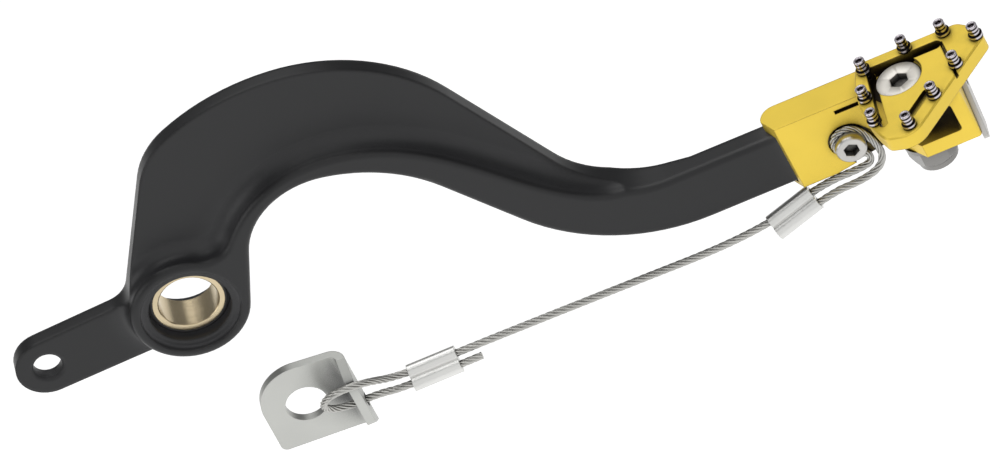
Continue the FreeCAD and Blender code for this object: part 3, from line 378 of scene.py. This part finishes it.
@effect("Blasted grain")
def blasted_grain(name):
    """Fine pits and a slow cloud, for bump, colour and roughness."""
    recipe, given, result = new_group(
        name,
        (("Position", "Vector", None), ("Fineness", "Float", 2500.0), ("Cloud", "Float", 60.0)),
        (("Height", "Float"), ("Cloud", "Float")))
    pits = recipe.noise(given["Position"], given["Fineness"], detail=3.0)
    recipe.join(pits, result["Height"])
    recipe.join(recipe.noise(given["Position"], given["Cloud"]), result["Cloud"])
    return recipe.tree


@effect("Turned rings")
def turned_rings(name):
    """Rings round an axis along Y or Z, as a lathe tool leaves them."""
    recipe, given, result = new_group(
        name,
        (("Position", "Vector", None), ("Axis Z", "Float", 1.0), ("Pitch", "Float", 0.0003)),
        (("Height", "Float"),))
    spot = recipe.split(given["Position"])
    along_y = recipe.compute("SUBTRACT", 1.0, given["Axis Z"])

    def either(if_z, if_y):
        """One of two coordinates, by the axis of the rings."""
        return recipe.compute("ADD", recipe.compute("MULTIPLY", spot[if_z], given["Axis Z"]),
                              recipe.compute("MULTIPLY", spot[if_y], along_y))

    across, along = either("Y", "Z"), either("Z", "Y")
    square = recipe.compute("ADD", recipe.compute("MULTIPLY", spot["X"], spot["X"]),
                            recipe.compute("MULTIPLY", across, across))
    way = recipe.compute("ADD", recipe.compute("SQRT", square), along)
    noise = recipe.add("ShaderNodeTexNoise", noise_dimensions="1D")
    noise.inputs["Scale"].default_value = 1.0
    noise.inputs["Detail"].default_value = 2.0
    recipe.join(recipe.compute("DIVIDE", way, given["Pitch"]), noise.inputs["W"])
    recipe.join(noise.outputs["Fac"], result["Height"])
    return recipe.tree


@effect("Shaded hollows")
def shaded_hollows(name):
    """Mask of the corners and holes that little light reaches, for painted shade."""
    recipe, given, result = new_group(
        name, (("Reach", "Float", 0.006), ("Closed", "Float", 0.4), ("Open", "Float", 0.86)),
        (("Mask", "Float"),))
    pocket = recipe.add("ShaderNodeAmbientOcclusion", samples=HOLLOW_SAMPLES)
    recipe.join(given["Reach"], pocket.inputs["Distance"])
    depth = recipe.ramp(pocket.outputs["AO"], given["Closed"], given["Open"], 1.0, 0.0)
    recipe.join(depth, result["Mask"])
    return recipe.tree


@effect("Thread bands")
def thread_bands(name):
    """Mask of the painted shade in the roots of a thread along Z."""
    recipe, given, result = new_group(
        name, (("Position", "Vector", None), ("Pitch", "Float", 0.0012)), (("Mask", "Float"),))
    turns = recipe.compute("DIVIDE", recipe.split(given["Position"])["Z"], given["Pitch"])
    bands = recipe.ramp(recipe.compute("PINGPONG", turns, 0.5), *BAND_RANGE)
    recipe.join(bands, result["Mask"])
    return recipe.tree


def softened_width(recipe, spot, hollow_shade_mask, width, softened):
    """Width of edges that grows in the hollows, between two distances from the pivot."""
    parts = recipe.split(spot)
    away = recipe.compute("SQRT", recipe.compute(
        "ADD", recipe.compute("POWER", parts["X"], 2.0), recipe.compute("POWER", parts["Z"], 2.0)))
    zone = recipe.compute("MULTIPLY", recipe.ramp(away, *SOFT_FROM),
                          recipe.ramp(away, *SOFT_UNTIL, 1.0, 0.0))
    return recipe.ramp(recipe.compute("MULTIPLY", zone, hollow_shade_mask), *SOFT_RANGE, width, softened)


def make_finish(name, colour, roughness, metallic=1.0, refraction=1.5, centre=(0.0, 0.0, 0.0),
                shade=0.12, grain=0.25, grain_size=None, edge=None, thread_pitch=None,
                turning=None, rubbing_and_edge_shade=None, hollows=None):
    """A finish: grain or turned rings in its bump, cloudy colour, a colour on sharp edges (rubbed
    wear, and painted shade on the gold), painted shade in hollows and thread roots.
    """
    finish = bpy.context.scene.pedal_finish
    material = bpy.data.materials.new(name)
    material.use_nodes = True
    material.node_tree.nodes.clear()
    recipe = Recipe(material.node_tree)
    out = recipe.add("ShaderNodeOutputMaterial")
    surface = recipe.add("ShaderNodeBsdfPrincipled")
    recipe.join(surface.outputs[0], out.inputs["Surface"])
    surface.inputs["Metallic"].default_value = metallic
    surface.inputs["IOR"].default_value = refraction

    place = recipe.add("ShaderNodeTexCoord")
    mapping = recipe.add("ShaderNodeMapping")
    mapping.inputs["Location"].default_value = [-value for value in centre]
    recipe.join(place.outputs["Object"], mapping.inputs["Vector"])
    spot = mapping.outputs["Vector"]
    speck = recipe.place_group(blasted_grain(), Position=spot, Cloud=CLOUD_SCALE,
                               Fineness=1.0 / (grain_size or finish.grain))
    cloud = speck.outputs["Cloud"]

    width = edge or finish.edge
    # The hollow mask drives painted shade, and on the arm a wider edge rounding
    if hollows is not None:
        hollow_shade_mask = recipe.place_group(shaded_hollows(), Reach=hollows.reach, Closed=hollows.closed,
                                    Open=hollows.open).outputs["Mask"]
        if hollows.softened is not None:
            width = softened_width(recipe, spot, hollow_shade_mask, width, hollows.softened)
    edges = recipe.place_group(rubbed_edges(), Position=spot, Width=width)

    tint = recipe.add("ShaderNodeVectorMath", operation="SCALE")
    tint.inputs[0].default_value = tuple(colour)
    recipe.join(recipe.ramp(cloud, *CLOUD_RANGE, 1.0 - shade, 1.0 + shade), tint.inputs["Scale"])
    base = tint.outputs["Vector"]
    # Sharp edges take the edge colour: rubbed wear, and on the gold painted shade
    if rubbing_and_edge_shade is not None:
        recipe.feed(rubbing_and_edge_shade.breaks, edges.inputs["Break"])
        rubbed_and_shaded = recipe.compute("MULTIPLY", edges.outputs["Mask"],
                                finish.wear * rubbing_and_edge_shade.strength)
        base = recipe.blend(rubbed_and_shaded, base, rubbing_and_edge_shade.colour)
    # Dark bands along Z are painted shade of a thread's roots
    if thread_pitch is not None:
        root_shade = recipe.place_group(thread_bands(), Position=spot, Pitch=thread_pitch)
        base = recipe.blend(root_shade.outputs["Mask"], base, THREAD_ROOT_SHADE)
    # Painted shade: hollows are darkened towards the shade colour
    if hollows is not None:
        base = recipe.blend(hollow_shade_mask, base, hollows.colour)
    recipe.join(base, surface.inputs["Base Color"])
    recipe.join(recipe.ramp(cloud, *CLOUD_RANGE, roughness - SMOOTHER, roughness + ROUGHER),
                surface.inputs["Roughness"])

    height = speck.outputs["Height"]
    if turning is not None:
        rings = recipe.place_group(turned_rings(), Position=spot, Pitch=turning.pitch,
                                   Axis_Z=1.0 if turning.axis == "Z" else 0.0)
        height = recipe.compute("ADD", recipe.compute("MULTIPLY", height, GRAIN_ON_RINGS),
                                rings.outputs["Height"])
    bump = recipe.add("ShaderNodeBump")
    bump.inputs["Strength"].default_value = grain
    bump.inputs["Distance"].default_value = BUMP_HEIGHT
    recipe.join(height, bump.inputs["Height"])
    recipe.join(edges.outputs["Normal"], bump.inputs["Normal"])
    recipe.join(bump.outputs["Normal"], surface.inputs["Normal"])
    return material


def rope_group():
    """Geometry nodes that sweep a core and the strands round it along a line of edges."""
    tree = bpy.data.node_groups.new("Wire rope", "GeometryNodeTree")
    face = tree.interface
    face.new_socket(name="Geometry", in_out="INPUT", socket_type="NodeSocketGeometry")
    for title, kind in (("Diameter", "NodeSocketFloat"), ("Strands", "NodeSocketInt"),
                        ("Lay", "NodeSocketFloat"), ("Step", "NodeSocketFloat"),
                        ("Material", "NodeSocketMaterial")):
        face.new_socket(name=title, in_out="INPUT", socket_type=kind)
    face.new_socket(name="Geometry", in_out="OUTPUT", socket_type="NodeSocketGeometry")
    recipe = Recipe(tree)
    given = recipe.add("NodeGroupInput").outputs
    result = recipe.add("NodeGroupOutput").inputs

    line = recipe.add("GeometryNodeMeshToCurve")
    recipe.join(given["Geometry"], line.inputs["Mesh"])
    even = recipe.add("GeometryNodeResampleCurve", mode="LENGTH")
    recipe.join(line.outputs["Curve"], even.inputs["Curve"])
    recipe.join(given["Step"], even.inputs["Length"])
    along = recipe.add("GeometryNodeSplineParameter")
    turns = recipe.compute("DIVIDE", along.outputs["Length"], given["Lay"])
    tilt = recipe.add("GeometryNodeSetCurveTilt")
    recipe.join(even.outputs["Curve"], tilt.inputs["Curve"])
    recipe.join(recipe.compute("MULTIPLY", turns, FULL_TURN), tilt.inputs["Tilt"])

    ring = recipe.add("GeometryNodeCurvePrimitiveCircle")
    recipe.join(given["Strands"], ring.inputs["Resolution"])
    recipe.join(recipe.compute("MULTIPLY", given["Diameter"], STRAND_RING_RADIUS),
                ring.inputs["Radius"])
    strand = recipe.add("GeometryNodeCurvePrimitiveCircle")
    strand.inputs["Resolution"].default_value = STRAND_SIDES
    recipe.join(recipe.compute("MULTIPLY", given["Diameter"], STRAND_RADIUS),
                strand.inputs["Radius"])
    laid = recipe.add("GeometryNodeInstanceOnPoints")
    recipe.join(ring.outputs["Curve"], laid.inputs["Points"])
    recipe.join(strand.outputs["Curve"], laid.inputs["Instance"])
    both = recipe.add("GeometryNodeJoinGeometry")
    recipe.join(laid.outputs["Instances"], both.inputs["Geometry"])
    recipe.join(strand.outputs["Curve"], both.inputs["Geometry"])
    section = recipe.add("GeometryNodeRealizeInstances")
    recipe.join(both.outputs["Geometry"], section.inputs["Geometry"])

    sweep = recipe.add("GeometryNodeCurveToMesh")
    recipe.join(tilt.outputs["Curve"], sweep.inputs["Curve"])
    recipe.join(section.outputs["Geometry"], sweep.inputs["Profile Curve"])
    sweep.inputs["Fill Caps"].default_value = True
    whole = recipe.add("GeometryNodeRealizeInstances")
    recipe.join(sweep.outputs["Mesh"], whole.inputs["Geometry"])
    coat = recipe.add("GeometryNodeSetMaterial")
    recipe.join(whole.outputs["Geometry"], coat.inputs["Geometry"])
    recipe.join(given["Material"], coat.inputs["Material"])
    recipe.join(coat.outputs["Geometry"], result["Geometry"])
    return tree


def dress(name, material):
    """Gives a CAD node's object its material."""
    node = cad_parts[name]
    node.data.materials.clear()
    node.data.materials.append(material)


def middle(name):
    """Middle of a CAD node's box."""
    low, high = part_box(name)
    return (Vector(low) + Vector(high)) / 2


def new_object(name, data):
    """A new object in the scene, at the origin."""
    thing = bpy.data.objects.new(name, data)
    bpy.context.scene.collection.objects.link(thing)
    return thing


def lathe(name, rows, material):
    """A closed turned piece: rows are loops of points, from one end to the other."""
    around = len(rows[0])
    shape = bmesh.new()
    loops = [[shape.verts.new(point) for point in row] for row in rows]
    for first, second in zip(loops, loops[1:]):
        for index in range(around):
            after = (index + 1) % around
            shape.faces.new((first[index], first[after], second[after], second[index]))
    shape.faces.new(list(reversed(loops[0])))
    shape.faces.new(loops[-1])
    bmesh.ops.recalc_face_normals(shape, faces=shape.faces)
    for face in shape.faces:
        face.smooth = True
    for edge in shape.edges:
        if edge.calc_face_angle(0.0) > SMOOTH_ANGLE:
            edge.smooth = False
    data = bpy.data.meshes.new(name)
    shape.to_mesh(data)
    shape.free()
    data.materials.append(material)
    return new_object(name, data)


def round_row(place, height, radius, around):
    """A loop of points about the piece's own axis; radius may depend on the angle."""
    row = []
    for index in range(around):
        turn = FULL_TURN * index / around
        reach = radius(turn) if callable(radius) else radius
        row.append(place(reach * math.cos(turn), reach * math.sin(turn), height))
    return row


def hexagon(flats):
    """Radius of a hexagon by its angle."""
    def radius(turn):
        lean = (turn + math.pi / 6) % (math.pi / 3) - math.pi / 6
        return flats / 2 / math.cos(lean)
    return radius


def drilled(socket):
    """Radius of the drilled bottom of a socket by its angle."""
    return lambda turn: DRILLED_POINT * socket(turn)


def thread_radius(outer, pitch, depth, height):
    """Radius of a helical thread by its angle, at one height."""
    def radius(turn):
        phase = (height / pitch - turn / FULL_TURN) % 1.0
        flank = min(abs(2.0 * phase - 1.0) * THREAD_FLANK, 1.0)
        return outer - depth * pitch * (1.0 - flank)
    return radius


def thread_rows(row, start, end, outer, pitch, depth):
    """Rows of a thread between two heights, running in and out softly."""
    rows = []
    count = int(abs(end - start) / pitch * THREAD_STEPS)
    for number in range(count + 1):
        height = start + (end - start) * number / count
        fade = min(1.0, number / THREAD_STEPS,
                   (count - number) / (THREAD_RUN_OUT * THREAD_STEPS) + THREAD_END)
        rows.append(row(height, thread_radius(outer, pitch, depth * fade, height)))
    return rows


class PEDAL_OT_stage(Operator):
    """Makes the floor, the soft lights, the sky and the camera"""
    bl_idname = "pedal.stage"
    bl_label = "Stage and camera"

    def execute(self, context):
        stage = context.scene.pedal_stage
        self.camera(context, stage)
        self.floor(stage)
        self.sky(context, stage)
        for name, spot, size, bright in PANELS:
            self.panel(name, spot, size, bright * stage.panel_strength)
        context.scene.view_settings.view_transform = "Standard"
        return {"FINISHED"}

    def camera(self, context, stage):
        """A long lens that looks at the pedal from the photograph's side."""
        turn, rise = stage.azimuth, stage.elevation
        back = Vector((math.sin(turn) * math.cos(rise), -math.cos(turn) * math.cos(rise),
                       math.sin(rise)))
        level = Vector((math.cos(turn), math.sin(turn), 0.0))
        upright = back.cross(level)
        right = math.cos(stage.roll) * level + math.sin(stage.roll) * upright
        up = math.cos(stage.roll) * upright - math.sin(stage.roll) * level
        lens = bpy.data.cameras.new("studio_camera")
        lens.lens, lens.sensor_width = stage.focal_length, SENSOR_WIDTH
        lens.clip_start, lens.clip_end = CLIP_START, CLIP_END
        away = stage.focal_length * stage.picture_width / lens.sensor_width
        camera = new_object("studio_camera", lens)
        camera.matrix_world = Matrix((
            (right.x, up.x, back.x, 0.0), (right.y, up.y, back.y, 0.0),
            (right.z, up.z, back.z, 0.0), (0.0, 0.0, 0.0, 1.0)))
        camera.location = right * stage.picture_right + up * stage.picture_up + back * away
        context.scene.camera = camera

    def floor(self, stage):
        """A pale table far below the pedal, which glows a little."""
        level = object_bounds()[0][2] - stage.floor_gap
        corners = [(x * FLOOR_REACH, y * FLOOR_REACH, level)
                   for x, y in ((-1, -1), (1, -1), (1, 1), (-1, 1))]
        material = bpy.data.materials.new("pale_floor")
        material.use_nodes = True
        surface = material.node_tree.nodes["Principled BSDF"]
        surface.inputs["Base Color"].default_value = (*stage.floor_colour, 1.0)
        surface.inputs["Roughness"].default_value = 0.9
        surface.inputs["Specular IOR Level"].default_value = 0.1
        surface.inputs["Emission Color"].default_value = (1.0, 1.0, 1.0, 1.0)
        surface.inputs["Emission Strength"].default_value = stage.floor_glow
        data = bpy.data.meshes.new("studio_floor")
        data.from_pydata(corners, [], [(0, 1, 2, 3)])
        data.materials.append(material)
        new_object("studio_floor", data)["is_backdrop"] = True

    def sky(self, context, stage):
        """White where the camera sees it, and weak as a light."""
        world = bpy.data.worlds.new("soft_sky")
        world.use_nodes = True
        recipe = Recipe(world.node_tree)
        shade = world.node_tree.nodes["Background"]
        shade.inputs["Color"].default_value = (1.0, 1.0, 1.0, 1.0)
        seen = recipe.add("ShaderNodeLightPath").outputs["Is Camera Ray"]
        recipe.join(recipe.ramp(seen, 0.0, 1.0, stage.sky_strength, 1.0),
                    shade.inputs["Strength"])
        context.scene.world = world

    def panel(self, name, spot, size, bright):
        """A rectangular soft light of a given brightness, whatever its size."""
        light = bpy.data.lights.new(name, "AREA")
        light.shape, light.size, light.size_y = "RECTANGLE", size[0], size[1]
        light.energy = bright * math.pi * size[0] * size[1]
        lamp = new_object(name, light)
        lamp.rotation_euler = (PANEL_AIM - Vector(spot)).to_track_quat("-Z", "Y").to_euler()
        lamp.location = spot


class PEDAL_OT_arm(Operator):
    """Finishes the arm, its bronze bush and its two rubber seals"""
    bl_idname = "pedal.arm"
    bl_label = "Arm and pivot"

    def execute(self, context):
        finish = context.scene.pedal_finish
        dress("pedal_arm", make_finish(
            "black_anodised", finish.black, roughness=0.37, metallic=0.0, refraction=1.43,
            grain=0.3, edge=0.0014, rubbing_and_edge_shade=RubbingAndEdgeShade(WORN_BLACK),
            hollows=HollowShade(BLACK_HOLLOW_SHADE, reach=0.008, closed=0.3, open=0.95, softened=0.007)))
        dress("pivot_bush", make_finish(
            "bored_bronze", finish.bronze, roughness=0.2, grain=0.5,
            turning=Turning("Y", 0.0002), rubbing_and_edge_shade=RubbingAndEdgeShade(WORN_BRONZE)))
        rubber = make_finish("seal_rubber", finish.rubber, roughness=0.55, metallic=0.0,
                             grain=0.3, turning=Turning("Y"))
        for name in SEAL_NODES:
            dress(name, rubber)
        return {"FINISHED"}


class PEDAL_OT_tip(Operator):
    """Finishes the gold tip, its holder and its steel teeth"""
    bl_idname = "pedal.tip"
    bl_label = "Tip and holder"

    def execute(self, context):
        finish = context.scene.pedal_finish
        # The gold's edge colour is a painted shade: long dark brown lines along its edges
        gold = make_finish(
            "gold_anodised", finish.gold, roughness=0.4, metallic=0.5, grain=0.3, shade=0.05,
            edge=0.0005, rubbing_and_edge_shade=RubbingAndEdgeShade(GOLD_EDGE_SHADE, strength=2.8, breaks=25.0),
            hollows=HollowShade(GOLD_HOLLOW_SHADE, reach=0.014))
        for name in GOLD_NODES:
            dress(name, gold)
        # Pins get dark bands along Z as painted shade of a thread's roots
        for name in PIN_NODES:
            dress(name, make_finish(
                "pin_steel_" + name[-1], finish.pin, roughness=0.22, centre=middle(name),
                grain=0.5, thread_pitch=0.0012, turning=Turning("Z", 0.00025)))
        return {"FINISHED"}


class PEDAL_OT_fasteners(Operator):
    """Finishes the nuts, washers, end plate and bolts"""
    bl_idname = "pedal.fasteners"
    bl_label = "Nuts and bolts"

    def execute(self, context):
        finish = context.scene.pedal_finish
        for name in SMALL_STEEL_NODES:
            axis = "Y" if name.startswith("clamp") else "Z"
            dress(name, make_finish(
                "plated_" + name, finish.steel, roughness=0.28, centre=middle(name), grain=0.4,
                turning=Turning(axis), hollows=HollowShade(STEEL_HOLLOW_SHADE)))
        # The lock nut and its washer are a darker copy of the steel, a painted shade under the tip
        shaded_steel = tuple(NUT_SHADE_SHARE * value for value in finish.steel)
        for name in NUT_NODES:
            dress(name, make_finish(
                "painted_shade_" + name, shaded_steel, roughness=0.2, centre=middle(name), grain=0.4,
                turning=Turning("Z"),
                hollows=HollowShade(STEEL_HOLLOW_SHADE, reach=0.012, closed=0.5, open=0.95)))
        plated = make_finish(
            "plated_bolt", finish.steel, roughness=0.26, centre=middle("clamp_bolt"), grain=0.4,
            turning=Turning("Y"), hollows=HollowShade(SOCKET_HOLLOW_SHADE, reach=0.003))
        self.clamp_bolt(context.scene.pedal_thread, plated)
        satin = make_finish(
            "satin_screw", finish.satin, roughness=0.42, metallic=0.6,
            centre=middle("tip_screw"), turning=Turning("Z", 0.0002),
            hollows=HollowShade(SOCKET_HOLLOW_SHADE, reach=0.0045))
        self.tip_screw(context.scene.pedal_thread, satin)
        dress("end_plate", make_finish("satin_plate", finish.steel, roughness=0.36, grain=0.4))
        dress("nut_insert", make_finish("nylon_ring", finish.nylon, roughness=0.5,
                                        metallic=0.0))
        return {"FINISHED"}

    def tip_screw(self, thread, material):
        """Flat head with a hexagon socket, plain neck and a rolled thread."""
        low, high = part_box("tip_screw")
        centre = middle("tip_screw")
        top, bottom = high[2], low[2]
        head, shank = (high[0] - low[0]) / 2, TIP_SHANK * MM
        socket = hexagon(TIP_SOCKET * MM)

        def place(x, y, height):
            return Vector((centre.x + x, centre.y + y, height))

        def row(height, radius):
            return round_row(place, height, radius, TIP_LOOP_POINTS)

        # Depths in millimetres: socket from its bottom to its rim, then head, cone and neck
        profile = ((3.1, drilled(socket)), (2.6, socket), (0.25, socket),
                   (0.0, TIP_SOCKET_RIM * MM), (0.0, head - 0.2 * MM), (0.12, head),
                   (0.5, head), (3.2, shank), (8.0, shank))
        rows = [row(top - depth * MM, radius) for depth, radius in profile]
        rows += thread_rows(row, top - 8.2 * MM, bottom + 0.5 * MM, shank, thread.tip_pitch,
                            thread.depth)
        rows += [row(bottom + 0.1 * MM, 3.3 * MM), row(bottom, 2.9 * MM)]
        screw = lathe("tip_screw_threaded", rows, material)
        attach(screw, "pedal")
        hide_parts("tip_screw")

    def clamp_bolt(self, thread, material):
        """Cap head with a fine knurl and a hexagon socket, and a rolled thread."""
        low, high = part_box("clamp_bolt")
        centre = middle("clamp_bolt")
        face, end = low[1], high[1]
        head, shank = (high[0] - low[0]) / 2, BOLT_SHANK * MM
        socket = hexagon(BOLT_SOCKET * MM)

        def place(x, y, height):
            return Vector((centre.x + x, height, centre.z + y))

        def row(height, radius):
            return round_row(place, height, radius, BOLT_LOOP_POINTS)

        def knurled(turn):
            in_groove = round(turn / FULL_TURN * BOLT_LOOP_POINTS) % 2
            return head - (KNURL_DEPTH * MM if in_groove else 0.0)

        # Depths in millimetres: socket from its bottom to its rim, then head, knurl and neck
        profile = ((2.9, drilled(socket)), (2.6, socket), (0.2, socket),
                   (0.0, BOLT_SOCKET_RIM * MM), (0.0, head - 0.5 * MM),
                   (0.35, head - 0.12 * MM), (0.45, knurled), (2.7, knurled),
                   (2.8, head - 0.12 * MM), (3.1, head - 0.15 * MM), (3.1, shank), (6.0, shank))
        rows = [row(face + depth * MM, radius) for depth, radius in profile]
        rows += thread_rows(row, face + 6.2 * MM, end - 0.4 * MM, shank, thread.bolt_pitch,
                            thread.depth)
        rows += [row(end - 0.1 * MM, 2.0 * MM), row(end, 1.8 * MM)]
        bolt = lathe("clamp_bolt_threaded", rows, material)
        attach(bolt, "pedal")
        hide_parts("clamp_bolt")


class PEDAL_OT_cable(Operator):
    """Makes the wire rope of the safety cable and finishes its sleeves and folded tab"""
    bl_idname = "pedal.cable"
    bl_label = "Safety cable"

    def execute(self, context):
        finish = context.scene.pedal_finish
        for name in SLEEVE_NODES:
            dress(name, make_finish("pressed_" + name, finish.sleeve, roughness=0.34, grain=0.5,
                                    shade=0.08))
        dress("cable_tab", make_finish(
            "plated_sheet", finish.sheet, roughness=0.45, grain=0.4, shade=0.06,
            rubbing_and_edge_shade=RubbingAndEdgeShade(WORN_SHEET),
            hollows=HollowShade(SHEET_HOLLOW_SHADE, reach=0.01, closed=0.5, open=0.95)))
        wire = make_finish("wire", finish.wire, roughness=0.3, grain=0.3, shade=0.1,
                           grain_size=0.0003,
                           hollows=HollowShade(WIRE_HOLLOW_SHADE, closed=0.2, open=0.6))
        route = self.route(context)
        points = [tuple(vertex.co) for vertex in route.vertices]
        cable = self.wire_rope(context, context.scene.pedal_cable, route, wire)
        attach(cable, "pedal")
        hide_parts("safety_cable")
        return {"FINISHED"}

    def route(self, context):
        """Line of edges along the smooth way that the cable follows."""
        line = bpy.data.curves.new("cable_route", "CURVE")
        line.dimensions = "3D"
        line.resolution_u = ROUTE_STEPS
        spline = line.splines.new("NURBS")
        spline.points.add(len(CABLE_POINTS) - 1)
        for point, spot in zip(spline.points, CABLE_POINTS):
            point.co = (*[value * MM for value in spot], 1.0)
        spline.order_u = 3
        spline.use_endpoint_u = True
        return self.finished_mesh(context, new_object("cable_route", line))

    def wire_rope(self, context, settings, route, material):
        """Straight core with strands laid round it, swept along the route."""
        raw = new_object("wire_rope_raw", route)
        modifier = raw.modifiers.new("Wire rope", "NODES")
        modifier.node_group = rope_group()
        values = {"Diameter": settings.diameter, "Strands": settings.strands,
                  "Lay": settings.lay, "Step": settings.ring_step, "Material": material}
        for item in modifier.node_group.interface.items_tree:
            if item.item_type == "SOCKET" and item.in_out == "INPUT" and item.name in values:
                modifier[item.identifier] = values[item.name]
        return new_object("wire_rope", self.finished_mesh(context, raw))

    def finished_mesh(self, context, helper):
        """Plain mesh of a helper object with its curve or modifier worked out."""
        context.view_layer.update()
        drawn = helper.evaluated_get(context.evaluated_depsgraph_get())
        data = bpy.data.meshes.new_from_object(drawn)
        bpy.data.objects.remove(helper)
        return data


class PEDAL_PT_looks(Panel):
    """Lists the operators and their settings"""
    bl_label = "Brake pedal"
    bl_space_type = "VIEW_3D"
    bl_region_type = "UI"
    bl_category = "Brake pedal"

    def draw(self, context):
        layout = self.layout
        for operator in OPERATORS:
            layout.operator(operator.bl_idname)
        for name, _ in GROUPS:
            group = getattr(context.scene, name)
            box = layout.box()
            for setting in group.__annotations__:
                box.prop(group, setting)


OPERATORS = (PEDAL_OT_stage, PEDAL_OT_arm, PEDAL_OT_tip, PEDAL_OT_fasteners, PEDAL_OT_cable)
GROUPS = (
    ("pedal_stage", PedalStageSettings),
    ("pedal_finish", PedalFinishSettings),
    ("pedal_cable", PedalCableSettings),
    ("pedal_thread", PedalThreadSettings),
)


def register():
    for name, group in GROUPS:
        bpy.utils.register_class(group)
        setattr(bpy.types.Scene, name, PointerProperty(type=group))
    for item in OPERATORS + (PEDAL_PT_looks,):
        bpy.utils.register_class(item)


def unregister():
    for item in reversed(OPERATORS + (PEDAL_PT_looks,)):
        bpy.utils.unregister_class(item)
    for name, group in reversed(GROUPS):
        delattr(bpy.types.Scene, name)
        bpy.utils.unregister_class(group)


def main():
    register()
    bpy.ops.pedal.stage()
    bpy.ops.pedal.cable()
    bpy.ops.pedal.arm()
    bpy.ops.pedal.tip()
    bpy.ops.pedal.fasteners()


if __name__ == "__main__":
    main()
